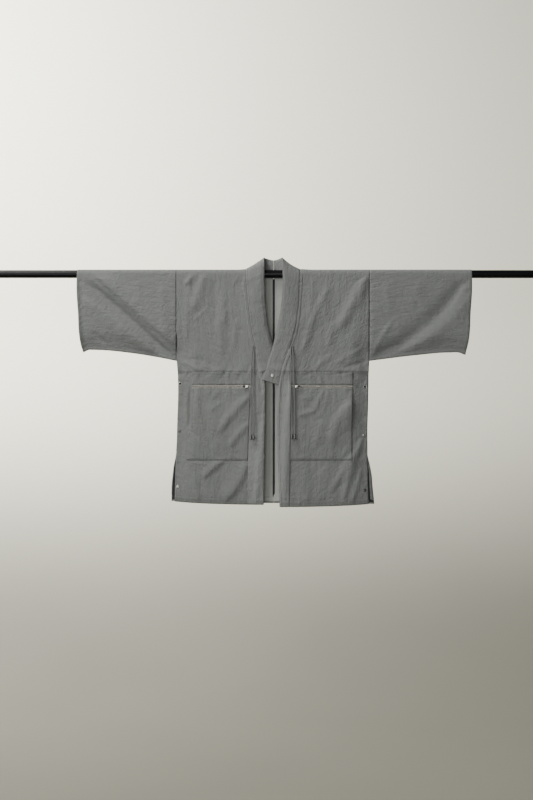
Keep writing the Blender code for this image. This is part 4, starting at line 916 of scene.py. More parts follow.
def stage_look():
    """The pale studio wall, with painted shade that darkens it towards the floor."""
    look = Look("studio", Roughness=0.92, Specular_IOR_Level=0.1)
    place = look.place(flat=False)
    height = look.node("ShaderNodeSeparateXYZ", {"Vector": place}, 2)
    span = {"Value": height, "From Min": FLOOR_Z, "From Max": STAGE_UNSHADED_FROM_Z}
    share = look.node("ShaderNodeMapRange", span, interpolation_type="SMOOTHERSTEP")
    share = look.weighted((share, 0.94), (look.noise(place, 0.6, 2.0), 0.06))
    look.fill(look.shader, {"Base Color": look.between(share, STAGE_SHADED, STAGE_HIGH, 0.0, 1.0)})
    return look.material


def make_camera():
    """The photo's view: level, straight at the coat's front."""
    data = bpy.data.cameras.new("camera")
    data.lens = CAMERA_LENS
    data.sensor_width = CAMERA_SENSOR
    camera = bpy.data.objects.new("camera", data)
    camera.location = CAMERA_PLACE
    camera.rotation_euler = (math.pi / 2, 0.0, 0.0)
    bpy.context.scene.collection.objects.link(camera)
    bpy.context.scene.camera = camera


def spline(keys, count):
    """Points along a smooth curve through the keys, count of them between each pair."""
    keys = [np.array(key) for key in keys]
    padded = [keys[0] * 2 - keys[1]] + keys + [keys[-1] * 2 - keys[-2]]
    points = []
    for before, a, b, after in zip(padded, padded[1:], padded[2:], padded[3:]):
        for t in np.arange(count) / count:
            points.append(
                0.5 * (2 * a + (b - before) * t + (2 * before - 5 * a + 4 * b - after) * t ** 2
                       + (3 * a - before - 3 * b + after) * t ** 3)
            )
    return np.array(points + [keys[-1]])


def tube(line, sides, radius_at):
    """A tube round a line of points, as a grid of points. radius_at takes the ring and the turn."""
    tangents = unit(np.gradient(line, axis=0))
    out = unit(np.cross(tangents, (0.0, 1.0, 0.0)))
    up = np.cross(tangents, out)
    turn = np.arange(sides) * math.tau / sides
    radius = radius_at(np.arange(len(line))[:, None], turn[None, :])
    around = out[:, None] * np.cos(turn)[None, :, None] + up[:, None] * np.sin(turn)[None, :, None]
    return line[:, None] + around * radius[..., None]


def tube_faces(rings, sides):
    """The faces of a tube whose points are counted round each ring in turn."""
    i, j = np.meshgrid(np.arange(rings - 1), np.arange(sides), indexing="ij")
    corners = [(i, j), (i + 1, j), (i + 1, j + 1), (i, j + 1)]
    return np.stack([a * sides + b % sides for a, b in corners], axis=-1).reshape(-1, 4)


def add_tube(name, grid, look):
    """A closed tube from rings of points, with its ends filled."""
    rings, sides = grid.shape[:2]
    points = np.concatenate([grid.reshape(-1, 3), grid[0].mean(0)[None], grid[-1].mean(0)[None]])
    quads = tube_faces(rings, sides).tolist()
    first, last = rings * sides, rings * sides + 1
    base = (rings - 1) * sides
    for j in range(sides):
        quads.append((first, j, (j + 1) % sides))
        quads.append((last, base + (j + 1) % sides, base + j))
    return link_mesh(name, points, quads, [look])


def turned(name, profile, steps, look, point, normal):
    """A turned piece: a profile of (radius, height) rows about an axis at a point."""
    turn = np.arange(steps) * math.tau / steps
    axis = Vector(normal).normalized()
    side = axis.orthogonal().normalized()
    other = np.array(axis.cross(side))
    side, axis = np.array(side), np.array(axis)
    around = side * np.cos(turn)[:, None] + other * np.sin(turn)[:, None]
    rings = [np.array(point) + around * radius + axis * height for radius, height in profile]
    return add_tube(name, np.array(rings), look)


def make_cords(cord_material, metal_material):
    """The four braided cords with their bell-shaped ends."""
    for name, keys in CORD_ROUTES.items():
        line = spline(keys, 68)

        def braid(ring, turn):
            strands = np.cos(4 * turn + ring * 0.9) * np.cos(4 * turn - ring * 0.9)
            return CORD_DIAMETER / 2 * (0.97 + 0.07 * strands)

        cord = add_tube(f"braid_{name}", tube(line, 16, braid), cord_material)
        end = line[-1] - np.array((0.0, 0.0, SEAM_GAP))
        profile = [(CORD_TIP_RADIUS * out, -CORD_TIP_LENGTH * down) for out, down in TIP_PROFILE]
        tip = turned(f"tip_{name}", profile, 28, metal_material, end, (0.0, 0.0, 1.0))
        settle(cord, "cord", f"cord_{name}")
        settle(tip, "metal", f"cord_tip_{name}")


def make_stage(look):
    """A floor that sweeps up into a wall, well behind the coat."""
    profile = [(STAGE_FRONT_Y, FLOOR_Z), (WALL_Y - SWEEP_RADIUS, FLOOR_Z)]
    for step in range(1, SWEEP_STEPS + 1):
        turn = math.pi / 2 * step / SWEEP_STEPS
        y = WALL_Y - SWEEP_RADIUS + SWEEP_RADIUS * math.sin(turn)
        profile.append((y, FLOOR_Z + SWEEP_RADIUS * (1 - math.cos(turn))))
    profile.append((WALL_Y, WALL_TOP_Z))
    points = np.array([[(x, y, z) for x in (-STAGE_HALF_WIDTH, STAGE_HALF_WIDTH)] for y, z in profile])
    quads = [(2 * k, 2 * k + 1, 2 * k + 3, 2 * k + 2) for k in range(len(profile) - 1)]
    add_mesh("studio_sweep", points.reshape(-1, 3), quads, [look])


def make_lights():
    """The square soft lights, each turned to its target, and a dim room round them."""
    for name, lamp in LIGHTS.items():
        data = bpy.data.lights.new(name, "AREA")
        data.size = lamp.size
        data.spread = math.radians(lamp.spread)
        data.energy = lamp.energy
        data.color = lamp.colour
        light = bpy.data.objects.new(name, data)
        light.location = lamp.place
        aim = Vector(lamp.target) - Vector(lamp.place)
        light.rotation_euler = aim.to_track_quat("-Z", "Y").to_euler()
        bpy.context.scene.collection.objects.link(light)
    world = bpy.data.worlds.new("room")
    world.use_nodes = True
    background = world.node_tree.nodes["Background"]
    background.inputs["Color"].default_value = ROOM_COLOUR
    background.inputs["Strength"].default_value = ROOM_STRENGTH
    bpy.context.scene.world = world


def steps_between(low, high, pitch=GRID):
    """Evenly spaced values from low to high, about a pitch apart."""
    return np.linspace(low, high, max(2, round(abs(high - low) / pitch) + 1))


def with_hem(points, normals, rows):
    """The grid with its last rows folded up inside, as a hem."""
    down = unit(points[-1] - points[-2])
    turn = points[-1] + down * FOLD_RADIUS - normals[-1] * FOLD_RADIUS
    inner = [points[-1 - k] - normals[-1 - k] * 2 * FOLD_RADIUS for k in range(rows)]
    return np.concatenate([points, turn[None], np.array(inner)])


def front_hem(side, share):
    """The height of a front's hem at a share of the way across it."""
    out = np.abs(front_across(side, share, BAG_BOTTOM_Z)) / side_edge("front", side, BAG_BOTTOM_Z)
    return hem_height("front", side, out)


def build_front(side, looks):
    """A front panel, from the shoulder seam over the rod to its hem."""
    share = np.concatenate([np.linspace(0.0, 1.0, 11), 1.0 + np.linspace(0.0, 1.0, 62)[1:]])[None, :]
    start = SEAM_GAP / 2 - SHOULDER_DROP
    end = QUARTER - front_hem(side, share)
    down = steps_between(0.0, 1.0, GRID / 0.74)[:, None]
    points = front_surface(side, share, start + (end - start) * down)
    points = with_hem(points, normals_of(points, (0, -1, 0)), HEM_ROWS)
    add_shell(f"front_cloth_{side}", points, looks, (0, -1, 0), nodes=[f"front_{side}"])


def front_patch(side, share, z, distance):
    """A grid a distance out from a front, at shares across it and at heights, with its normals."""
    points = front_surface(side, share, QUARTER - z)
    normals = normals_of(points, (0, -1, 0))
    return points + normals * (distance * np.ones(points.shape[:2]))[..., None], normals


def sewn_down(from_edge):
    """How far an overlaid piece lies off the cloth below it, by the distance from its sewn edge."""
    return ON_CLOTH + (ON_PANEL - ON_CLOTH) * smoothstep(from_edge / 0.003)


def build_band(side, looks):
    """The doubled band along a front's inner edge, folded round that edge."""
    share = np.linspace(1.0, 0.0, 13)[None, :]
    down = steps_between(0.0, 1.0, GRID / 0.48)[:, None]
    z = BAND_START_Z + (front_hem(side, share) - BAND_START_Z) * down
    width = np.abs(front_across(side, 1.0, z) - front_across(side, 0.0, z))
    points, normals = front_patch(side, share, z, sewn_down((1.0 - share) * width))
    out = unit(points[:, -1] - points[:, -2])
    edge = points[:, -1] - normals[:, -1] * ON_PANEL + out * ON_PANEL
    inner = [points[:, -1 - k] - normals[:, -1 - k] * 2 * ON_PANEL for k in range(4)]
    points = np.concatenate([points, edge[:, None], np.stack(inner, axis=1)], axis=1)
    add_shell(f"band_cloth_{side}", points, looks, (0, -1, 0), nodes=[f"front_band_{side}"])


def build_strip(side, looks):
    """The strip of cloth between the waist seam and the zip."""
    share = 1.0 + np.linspace(0.002, MOUTH_SHARE[side], 52)[None, :]
    z = np.linspace(STRIP_TOP_Z, ZIP_TOP_Z, 15)[:, None]
    points, _ = front_patch(side, share, z, sewn_down(np.minimum(STRIP_TOP_Z - z, z - ZIP_TOP_Z)))
    add_shell(f"strip_cloth_{side}", points, looks, (0, -1, 0), nodes=[f"waist_strip_{side}"])


def bag_distance(side, across, z):
    """How far a pocket stands off the front, at a share of the way to its mouth and a height."""
    down = (BAG_TOP_Z - z) / (BAG_TOP_Z - BAG_BOTTOM_Z)
    inner = np.clip(across, 0.0, 1.0)
    belly = BAG_BELLY * 16 * inner * (1 - inner) * down * (1 - down)
    at_mouth = np.sin(math.pi * np.clip((BAG_TOP_Z - z) / (BAG_TOP_Z - MOUTH_BOTTOM_Z), 0.0, 1.0))
    gape = MOUTH_GAPE[side] * at_mouth ** 1.5 * smoothstep((across - 0.72) / 0.28) ** 1.5
    return sewn_down(np.minimum(across * 0.17, z - BAG_BOTTOM_Z)) + belly + gape


def bag_grid(side, across, z):
    """Points of a pocket at shares of the way to its mouth and at heights."""
    points, normals = front_patch(side, 1.0 + across * MOUTH_SHARE[side], z, bag_distance(side, across, z))
    at_mouth = np.sin(math.pi * np.clip((BAG_TOP_Z - z) / (BAG_TOP_Z - MOUTH_BOTTOM_Z), 0.0, 1.0))
    drawn = MOUTH_DRAWN_IN[side] * at_mouth ** 2 * smoothstep((across - 0.6) / 0.4)
    points[..., 0] -= SIGN[side] * drawn
    return points, normals


def build_bag(side, looks):
    """A patch pocket, sewn on along its inner side and its bottom, open at its outer side."""
    across = np.linspace(0.002, 1.0, 50)
    corner = BAG_CORNER_SHARE[side] / MOUTH_SHARE[side]
    if corner > 1.0:
        across = np.concatenate([across, np.linspace(1.0, corner, 5)[1:]])
    z = np.linspace(BAG_TOP_Z, BAG_BOTTOM_Z, 62)
    points, _ = bag_grid(side, across[None, :], z[:, None])
    keep = (across[1:][None, :] < 1.001) | (z[1:][:, None] < MOUTH_BOTTOM_Z)
    add_shell(f"bag_cloth_{side}", points, looks, (0, -1, 0), keep=keep, nodes=[f"pocket_bag_{side}"])


def build_zip(side, tape, metal):
    """The zip's tape, between the strip and the pocket, and its teeth."""
    share = 1.0 + np.linspace(0.002, MOUTH_SHARE[side], 60)[None, :]
    z = np.linspace(ZIP_TOP_Z + 0.0015, BAG_TOP_Z - 0.0015, 6)[:, None]
    points, _ = front_patch(side, share, z, ON_CLOTH)
    add_shell(f"tape_{side}", points, [tape, tape], (0, -1, 0), TAPE_SHELL, nodes=[f"zip_tape_{side}"])
    middle = (ZIP_TOP_Z + BAG_TOP_Z) / 2
    line, normals = front_patch(side, share, middle + np.array([[0.001], [0.0], [-0.001]]), ON_CLOTH)
    line, normals = line[1], normals[1]
    length = lengths_along(line)
    count = int(length[-1] / TOOTH_PITCH)
    at = (np.arange(count) + 0.5) * TOOTH_PITCH
    out = taken_at(at, length, normals)
    centre = taken_at(at, length, line) + out * 0.0007
    centre[:, 2] += np.where(np.arange(count) % 2, TOOTH_STAGGER, -TOOTH_STAGGER)
    along = np.gradient(centre, axis=0)
    along[:, 2] = 0.0
    along = unit(along)
    up = np.array((0.0, 0.0, 1.0))
    points, quads = [], []
    for height, taper in TOOTH_LEVELS:
        wide, high = along * TOOTH_HALF_WIDTH * taper, up * TOOTH_HALF_LENGTH * taper
        for a, b in ((-1, -1), (1, -1), (1, 1), (-1, 1)):
            points.append(centre + out * height + wide * a + high * b)
    points = np.stack(points, axis=1).reshape(-1, 3)
    for k in range(count):
        first = 12 * k
        for level in (0, 4):
            for j in range(4):
                a, b = first + level + j, first + level + (j + 1) % 4
                quads.append((a, b, b + 4, a + 4))
        quads.append((first + 8, first + 9, first + 10, first + 11))
    teeth = add_mesh(f"teeth_{side}", points, quads, [metal])
    settle(teeth, "metal")


def neckline_drop(x):
    """How far down the cloth the back neckline lies from the top of the rod."""
    ends = [abs(lookup(FRONT_EDGE[side], 0.014) - CENTRE_BACK_X) for side in ("left", "right")]
    half_width = np.where(x < CENTRE_BACK_X, *ends)
    out = smoothstep((np.abs(x - CENTRE_BACK_X) / half_width - 0.30) / 0.70)
    return BACK_NECK_DROP + (SHOULDER_DROP - BACK_NECK_DROP) * out


def build_back(side, looks, binding):
    """A back half, from the neckline and the shoulder seam to its hem, with the facing in its hem."""
    inner = CENTRE_BACK_X + SIGN[side] * SEAM_GAP / 2
    down = steps_between(0.0, 1.0, GRID / 0.72)[:, None]
    across = steps_between(0.0, 1.0, GRID / 0.30)[None, :]
    first = inner + (SIGN[side] * ARMHOLE_X[side] - inner) * across
    start = neckline_drop(first) + SEAM_GAP / 2
    end = QUARTER - hem_height("back", side, across)
    drop = start + (end - start) * down
    z = np.minimum(height_at(drop), 0.0)
    x = inner + (SIGN[side] * (side_edge("back", side, z) - SEAM_GAP / 2) - inner) * across
    points = body_surface("back", side, x, drop)
    normals = normals_of(points, (0, 1, 0))
    folded = with_hem(points, normals, HEM_ROWS)
    add_shell(f"back_cloth_{side}", folded, looks, (0, 1, 0), nodes=[f"back_{side}"])
    inside = points[-6:-1] - normals[-6:-1] * (2 * FOLD_RADIUS + ON_CLOTH)
    name = f"back_hem_tape_{side}"
    add_shell(f"hem_facing_{side}", inside, [looks[1]] * 2, (0, -1, 0), FACING_SHELL, nodes=[name])
    build_vent_facing(side, looks[0], binding)


def build_vent_facing(side, cloth, binding):
    """The facing inside a back's vent: a rim of cloth along its edge, then dark tape that is also painted
    shadow cast by the front.
    """
    hem = hem_height("back", side, 1.0)
    z = np.linspace(VENT_TOP_Z - 0.006, hem + 0.0040, 46)[:, None]
    opening = np.maximum(side_edge("back", side, z) - side_edge("front", side, z), 0.0)
    rim = 0.0004 + opening * VENT_RIM_SHARE[side] * (1.0 - smoothstep((hem + 0.0130 - z) / 0.003))
    share = np.concatenate([[0.0], np.linspace(1.0, 2.0, 6)])[None, :]
    inset = 0.0010 + rim * np.minimum(share, 1.0) + VENT_TAPE_AND_SHADOW_WIDTH[side] * np.maximum(share - 1.0, 0.0)
    points = body_surface("back", side, SIGN[side] * (side_edge("back", side, z) - inset), QUARTER - z)
    off = ON_CLOTH + (2 * FOLD_RADIUS + ON_CLOTH) * smoothstep((VENT_TOP_Z - 0.030 - z) / 0.080)
    points = points - normals_of(points, (0, 1, 0)) * off[..., None]
    looks = [cloth, cloth, binding, binding]
    made = add_shell(f"vent_facing_{side}", points, looks, (0, -1, 0), FACING_SHELL)
    columns = points.shape[1] - 1
    for face in made.data.polygons:
        face.material_index = 0 if face.index % columns == 0 else 2


def build_centre_tape(binding):
    """The dark tape that covers the centre-back seam, inside."""
    x = CENTRE_BACK_X + np.linspace(-0.5, 0.5, 5)[None, :] * TAPE_WIDTH
    z = np.linspace(-0.0145, -0.690, 150)[:, None]
    points = body_surface("back", "left", x + 0 * z, QUARTER - z)
    points = points - normals_of(points, (0, 1, 0)) * (ON_CLOTH + 0.0006)
    nodes = ["centre_back_tape"]
    add_shell("centre_tape", points, [binding, binding], (0, -1, 0), FACING_SHELL, nodes=nodes)


def sleeve_relief(side, face, share, x, flat_z, bottom):
    """The creases, gathers and seams of a sleeve. flat_z runs on up over the rod's turn."""
    z = np.minimum(flat_z, 0.0)
    seed = {"front": 500, "back": 700}[face] + {"left": 0, "right": 50}[side]
    from_hole = np.abs(x) - ARMHOLE_X[side]
    from_cuff = (1.0 - share) * (CUFF_X[0][1] - ARMHOLE_X[side])
    relief = crease_relief(SLEEVE_CREASES[side][face], x, flat_z)
    relief = relief * smoothstep((from_hole + 0.006) / 0.030)
    relief += 0.0010 * smoothstep((-0.02 - z) / 0.12) * unevenness(seed, x / 0.060, z / 0.060)
    relief += 0.00050 * unevenness(seed + 2, (x + 0.6 * z) / 0.016, (z - 0.6 * x) / 0.050)
    relief += 0.00022 * unevenness(seed + 3, x / 0.010, z / 0.014)
    low = 0.35 + 0.65 * smoothstep((-0.02 - z) / 0.16)
    relief += puckers(seed + 5, z, from_hole, 0.010, 0.020, 0.0027) * low
    relief += groove(from_hole, 0.0032, 0.0018)
    relief += groove(from_cuff - CUFF_HEM, 0.0026, 0.0008)
    relief += puckers(seed + 7, z, from_cuff - CUFF_HEM, 0.016, 0.010, 0.0007)
    relief += 0.0030 * smoothstep((share - 0.6) / 0.4) * smoothstep(-z / 0.06)
    relief += CUFF_EDGE_RISE[side] * smoothstep(1.0 - from_cuff / 0.009)
    relief += 0.0036 * np.exp(-(((z - bottom - 0.045) / 0.026) ** 2)) * smoothstep(-z / 0.1)
    return kept_off_rod(relief * smoothstep((z - bottom + 0.002) / 0.022), flat_z)


def sleeve_across(side, share, z):
    """The x of a share of the way along a sleeve, at a height."""
    start = ARMHOLE_X[side] + SEAM_GAP / 2
    return SIGN[side] * (start + (lookup(CUFF_X, z) - start) * share)


def sleeve_bottom(side, share):
    """The height of the sleeve's lower fold, with a small dip at the cuff's corner."""
    bottom = lookup(SLEEVE_BOTTOM[side], np.abs(sleeve_across(side, share, -0.24)))
    return bottom - CUFF_CORNER_DIP[side] * smoothstep((share - 0.93) / 0.07)


def sleeve_surface(side, face, share, down):
    """Points of a sleeve, at shares along it and shares of the way down from the rod's top."""
    bottom = sleeve_bottom(side, share)
    drop = down * (QUARTER - bottom)
    flat_z = QUARTER - drop
    z = np.minimum(flat_z, 0.0)
    x = sleeve_across(side, share, height_at(drop))
    closing = smoothstep((bottom + ARMHOLE_CLOSING - z) / ARMHOLE_CLOSING)
    depth = TURN_RADIUS + (UNDERARM_HALF_DEPTH - TURN_RADIUS) * closing
    relief = sleeve_relief(side, face, share, x, flat_z, bottom)
    depth = np.maximum(depth + relief, LEAST_HALF_DEPTH)
    return over_rod(face, x, drop, TURN_RADIUS + relief, depth)


def build_sleeve(side, looks):
    """A tube sleeve, folded along its bottom, with a turned-in cuff."""
    share = steps_between(0.0, 1.0, GRID / 0.30)[:, None]
    down = steps_between(0.0, 1.0, GRID / 0.27)[None, :]
    front = sleeve_surface(side, "front", share, down[:, ::-1])
    back = sleeve_surface(side, "back", share, down[:, 1:])
    fold = []
    for turn in (0.25, 0.5, 0.75):
        point = back[:, -1] * (1 - turn) + front[:, 0] * turn
        point[:, 1] = back[:, -1, 1] * math.cos(math.pi * turn)
        point[:, 2] -= UNDERARM_HALF_DEPTH * math.sin(math.pi * turn)
        fold.append(point)
    points = np.concatenate([front, back, np.stack(fold, axis=1)], axis=1)
    wrapped = np.concatenate([points[:, -1:], points, points[:, :1]], axis=1)
    normals = unit(np.cross(np.gradient(wrapped, axis=1), np.gradient(wrapped, axis=0))[:, 1:-1])
    normals = normals if normals[40, 10, 1] < 0 else -normals
    points = with_hem(points, normals, 4)
    add_shell(f"sleeve_cloth_{side}", points, looks, (0, -1, 0), ring=True, nodes=[f"sleeve_{side}"])


def collar_middle(side, rows):
    """The middle surface of a collar half: rows from the centre back to its end, seam to free edge."""
    sign = SIGN[side]
    inner, neck = CENTRE_BACK_X + sign * SEAM_GAP / 2, FRONT_EDGE[side][0][1]
    x = np.linspace(inner, neck, 40)[:-1]
    drop = neckline_drop(x) + SEAM_GAP / 2
    seam = [body_surface("back", side, x, drop)]
    inside = [body_surface("back", side, x, drop + 0.006)]
    drop = np.linspace(SEAM_GAP / 2 - SHOULDER_DROP, QUARTER - COLLAR_END_Z[side], 120)
    seam.append(front_surface(side, 0.0, drop))
    inside.append(front_surface(side, 0.5, drop))
    seam, inside = np.concatenate(seam), np.concatenate(inside)
    along = lengths_along(seam)
    even = np.linspace(0.0, along[-1], rows)
    seam, inside = taken_at(even, along, seam), taken_at(even, along, inside)
    away = unit(seam - inside)
    edges = np.array(COLLAR_EDGE[side]) / 1000
    edge = np.stack([lookup(edges[:, (0, k)].tolist(), even) for k in (1, 2, 3)], axis=-1)
    toward = unit(edge - seam)
    lean = np.sum(toward * away, axis=1)
    clear = SEAM_GAP / 2 + COLLAR_THICK / 2 * np.sqrt(np.maximum(1.0 - lean ** 2, 0.0))
    start = seam + away * clear[:, None]
    share = np.linspace(0.0, 1.0, COLLAR_ACROSS)[None, :]
    points = start[:, None] + (edge - start)[:, None] * share[..., None]
    width = np.linalg.norm(edge - start, axis=1)[:, None]
    normals = sign * unit(np.cross(np.gradient(points, axis=1), np.gradient(points, axis=0)))
    seed = {"left": 900, "right": 950}[side]
    at = even[:, None]
    starts, full = CROWN_SPAN
    rise = (COLLAR_CROWN[side] + COLLAR_HOLLOW) * smoothstep((at - starts) / (full - starts))
    relief = (rise - COLLAR_HOLLOW) * 4 * share * (1 - share)
    from_free_edge = (1 - share) * width
    rolled = smoothstep(1.0 - from_free_edge / EDGE_ROLL_WIDTH) * smoothstep((at - 0.10) / 0.03)
    relief -= EDGE_ROLL * rolled
    relief += 0.0010 * unevenness(seed, at / 0.050, share * width / 0.030) * smoothstep(share / 0.4)
    relief += puckers(seed + 1, at, share * width, 0.014, 0.010, 0.0007)
    relief += puckers(seed + 3, at, from_free_edge, 0.020, 0.008, 0.0007)
    relief += groove(from_free_edge - EDGE_ROLL_WIDTH, 0.0022, 0.0005)
    points = points + normals * relief[..., None]
    normals = sign * unit(np.cross(np.gradient(points, axis=1), np.gradient(points, axis=0)))
    return points, normals


def build_collar(side, looks):
    """Half of the collar: two layers of cloth with a rolled free edge and a rounded end."""
    middle, normals = collar_middle(side, COLLAR_ROWS)
    last = middle[-1] + (middle[-1] - middle[-2]) * 0.35
    middle = np.concatenate([middle, last[None]])
    normals = np.concatenate([normals, normals[-1:]])
    half = np.full(len(middle), COLLAR_THICK / 2)
    half[-1] *= 0.35
    half = half[:, None, None]
    out = unit(middle[:, -1] - middle[:, -2])
    loop = [middle + normals * half]
    for turn in (0.25, 0.5, 0.75):
        roll = out * math.sin(math.pi * turn) + normals[:, -1] * math.cos(math.pi * turn)
        loop.append((middle[:, -1] + roll * half[:, 0])[:, None])
    loop.append((middle - normals * half)[:, ::-1])
    points = np.concatenate(loop, axis=1)
    name = f"collar_cloth_{side}"
    made = add_shell(name, points, looks[:1] * 2, (0, -1, 0), ring=True, nodes=[f"collar_{side}"])
    made.modifiers.clear()
    return middle, normals


def add_stitches(name, lines, look):
    """Rows of short stitches along lines on the cloth, as one piece. A line is points and normals."""
    found = []
    for points, normals in lines:
        length = lengths_along(points)
        count = int(length[-1] / STITCH_PITCH)
        starts = np.arange(count) * length[-1] / count
        at = starts[:, None] + np.linspace(0.0, 1.0, 4)[None] * STITCH_LENGTH
        centre, up = taken_at(at, length, points), taken_at(at, length, normals)
        along = (centre[:, 3] - centre[:, 0])[:, None]
        side = unit(np.cross(along, up))
        rise = np.array((-1.2, 0.5, 0.5, -1.2)) * STITCH_RADIUS
        thick = np.array((0.6, 1.0, 1.0, 0.6)) * STITCH_RADIUS
        turn = np.arange(4) * math.tau / 4
        height = rise[:, None] + thick[:, None] * np.cos(turn)
        ring = centre[:, :, None] + up[:, :, None] * height[None, ..., None]
        found.append(ring + side[:, :, None] * (thick[:, None] * np.sin(turn))[None, ..., None])
    points = np.concatenate(found)
    count = len(points)
    one = tube_faces(4, 4)
    quads = (one[None] + 16 * np.arange(count)[:, None, None]).reshape(-1, 4)
    made = add_mesh(name, points.reshape(-1, 3), quads, [look])
    settle(made, "cloth")


def on_surface(surface, a, b, facing, lift=SHELL / 2):
    """A line on a surface that takes two parameters, lifted to the shell's outside, with its normals."""
    step = 0.0008
    a, b = np.broadcast_arrays(np.asarray(a, float), np.asarray(b, float))
    along = surface(a + step, b) - surface(a - step, b)
    down = surface(a, b + step) - surface(a, b - step)
    normals = unit(np.cross(along, down))
    flip = np.sign(np.sum(normals * np.array(facing), axis=-1, keepdims=True))
    normals = normals * np.where(flip == 0, 1.0, flip)
    return surface(a, b) + normals * np.reshape(lift, (-1, 1)), normals


def body_line(face, side, x, z, lift=SHELL / 2):
    """A line of sewing on a body panel through places given by x and height."""
    def surface(across, height):
        return body_surface(face, side, across, QUARTER - height)
    return on_surface(surface, x, z, (0.0, FACING[face], 0.0), lift)


def sew_front(side, thread):
    """The rows of stitches on a front, its band, its strip and its pocket."""
    sign = SIGN[side]
    lines = []
    z = np.linspace(-0.002, COLLAR_END_Z[side], 110)
    edge = lookup(FRONT_EDGE[side], z)
    lines += [body_line("front", side, edge + sign * inset, z) for inset in COLLAR_SEAM_ROWS]
    z = np.linspace(BAND_START_Z, front_hem(side, 0.0) + 0.001, 150)
    on_band = ON_PANEL + SHELL / 2
    x = lookup(FRONT_EDGE[side], z) + sign * BAND_EDGE_ROW
    lines.append(body_line("front", side, x, z, on_band))
    x = lookup(BAND_LINE[side], z) - sign * BAND_SEAM_ROW
    lines.append(body_line("front", side, x, z, on_band - 0.0002))
    z = np.linspace(-0.010, UNDERARM_Z, 90)
    lines.append(body_line("front", side, sign * (ARMHOLE_X[side] - ARMHOLE_ROW) + 0 * z, z))
    z = np.linspace(VENT_TOP_Z, -0.700, 50)
    lines.append(body_line("front", side, sign * (side_edge("front", side, z) - VENT_ROW), z))
    share = np.linspace(0.02, 1.97, 150)
    z = front_hem(side, share) + HEM_ROW
    lines.append(body_line("front", side, front_across(side, share, z), z))
    share = 1.0 + np.linspace(0.01, MOUTH_SHARE[side] - 0.004, 90)
    for z in (*(STRIP_TOP_Z - below for below in STRIP_TOP_ROWS), ZIP_TOP_Z + ZIP_ROW):
        lift = sewn_down(min(STRIP_TOP_Z - z, z - ZIP_TOP_Z)) + SHELL / 2
        lines.append(body_line("front", side, front_across(side, share, z), z, lift))
    add_stitches(f"stitching_front_{side}", lines, thread)


def sew_bag(side, thread):
    """The rows of stitches round a pocket and along its mouth."""
    lines = []
    bottom = BAG_CORNER_SHARE[side] / MOUTH_SHARE[side]
    z = np.linspace(BAG_TOP_Z - 0.001, BAG_BOTTOM_Z + 0.001, 110)
    lines.append((0.012 + 0 * z, z))
    lines.append((0.975 + 0 * z[:68], z[:68]))
    across = np.linspace(0.012, bottom - 0.01, 100)
    lines += [(across, BAG_BOTTOM_Z + above + 0 * across) for above in BAG_BOTTOM_ROWS]
    across = np.linspace(0.012, 0.985, 90)
    lines.append((across, BAG_TOP_Z - BAG_TOP_ROW + 0 * across))
    sewn = []
    for across, z in lines:
        near = np.array((-0.004, 0.0, 0.004))
        line = []
        for a, height in zip(across, z):
            points, normals = bag_grid(side, a + near[None, :], height - 0.2 * near[:, None])
            line.append((points[1, 1] + normals[1, 1] * SHELL / 2, normals[1, 1]))
        sewn.append((np.array([row[0] for row in line]), np.array([row[1] for row in line])))
    add_stitches(f"stitching_bag_{side}", sewn, thread)


def sew_back(side, thread):
    """The rows of stitches on a back half."""
    sign = SIGN[side]
    lines = []
    z = np.linspace(-0.030, -0.700, 160)
    lines.append(body_line("back", side, CENTRE_BACK_X + sign * CENTRE_BACK_ROW + 0 * z, z))
    z = np.linspace(-0.010, UNDERARM_Z, 90)
    lines.append(body_line("back", side, sign * (ARMHOLE_X[side] - ARMHOLE_ROW) + 0 * z, z))
    z = np.linspace(VENT_TOP_Z, -0.695, 50)
    lines.append(body_line("back", side, sign * (side_edge("back", side, z) - VENT_ROW), z))
    out = np.linspace(0.03, 0.98, 130)
    z = hem_height("back", side, out) + HEM_ROW
    x = CENTRE_BACK_X + (sign * side_edge("back", side, z) - CENTRE_BACK_X) * out
    lines.append(body_line("back", side, x, z))
    add_stitches(f"stitching_back_{side}", lines, thread)


def sew_sleeve(side, thread):
    """The row of stitches round a cuff."""
    lines = []
    share = 1.0 - CUFF_HEM / (CUFF_X[0][1] - ARMHOLE_X[side])
    down = np.linspace(0.03, 0.985, 120)
    for face in FACING:
        def surface(along, depth, face=face):
            return sleeve_surface(side, face, along, depth)
        lines.append(on_surface(surface, share + 0 * down, down, (0.0, FACING[face], 0.0)))
    add_stitches(f"stitching_sleeve_{side}", lines, thread)


def sew_collar(side, middle, normals, thread):
    """A row of stitches along the collar's seam and one along its free edge."""
    lines = []
    for column in (2, COLLAR_ACROSS - 4):
        lines.append((middle[:-2, column] + normals[:-2, column] * COLLAR_THICK / 2, normals[:-2, column]))
    add_stitches(f"stitching_collar_{side}", lines, thread)


def seat(face, side, x, z, radius, lift=SHELL / 2):
    """Where a disc of a radius rests on a body panel, and the panel's mean normal there."""
    turn = np.arange(12) * math.tau / 12
    around, _ = body_line(face, side, x + radius * np.cos(turn), z + radius * np.sin(turn), lift)
    middle = around.mean(axis=0)
    normal = np.cross(around - middle, np.roll(around, -3, axis=0) - middle).sum(axis=0)
    normal = unit(normal)
    normal = normal if normal[1] * FACING[face] > 0 else -normal
    return middle + normal * max(((around - middle) @ normal).max(), 0.0), normal


def add_snap(node, point, normal, look, slot):
    """A snap's cap: a domed disc with a rolled rim and a sunken ring round its middle."""
    profile = [(SNAP_RADIUS * out, SNAP_HEIGHT * up) for out, up in SNAP_PROFILE]
    cap = turned(f"{node}_cap", profile, 36, look, point, normal)
    settle(cap, slot, node)


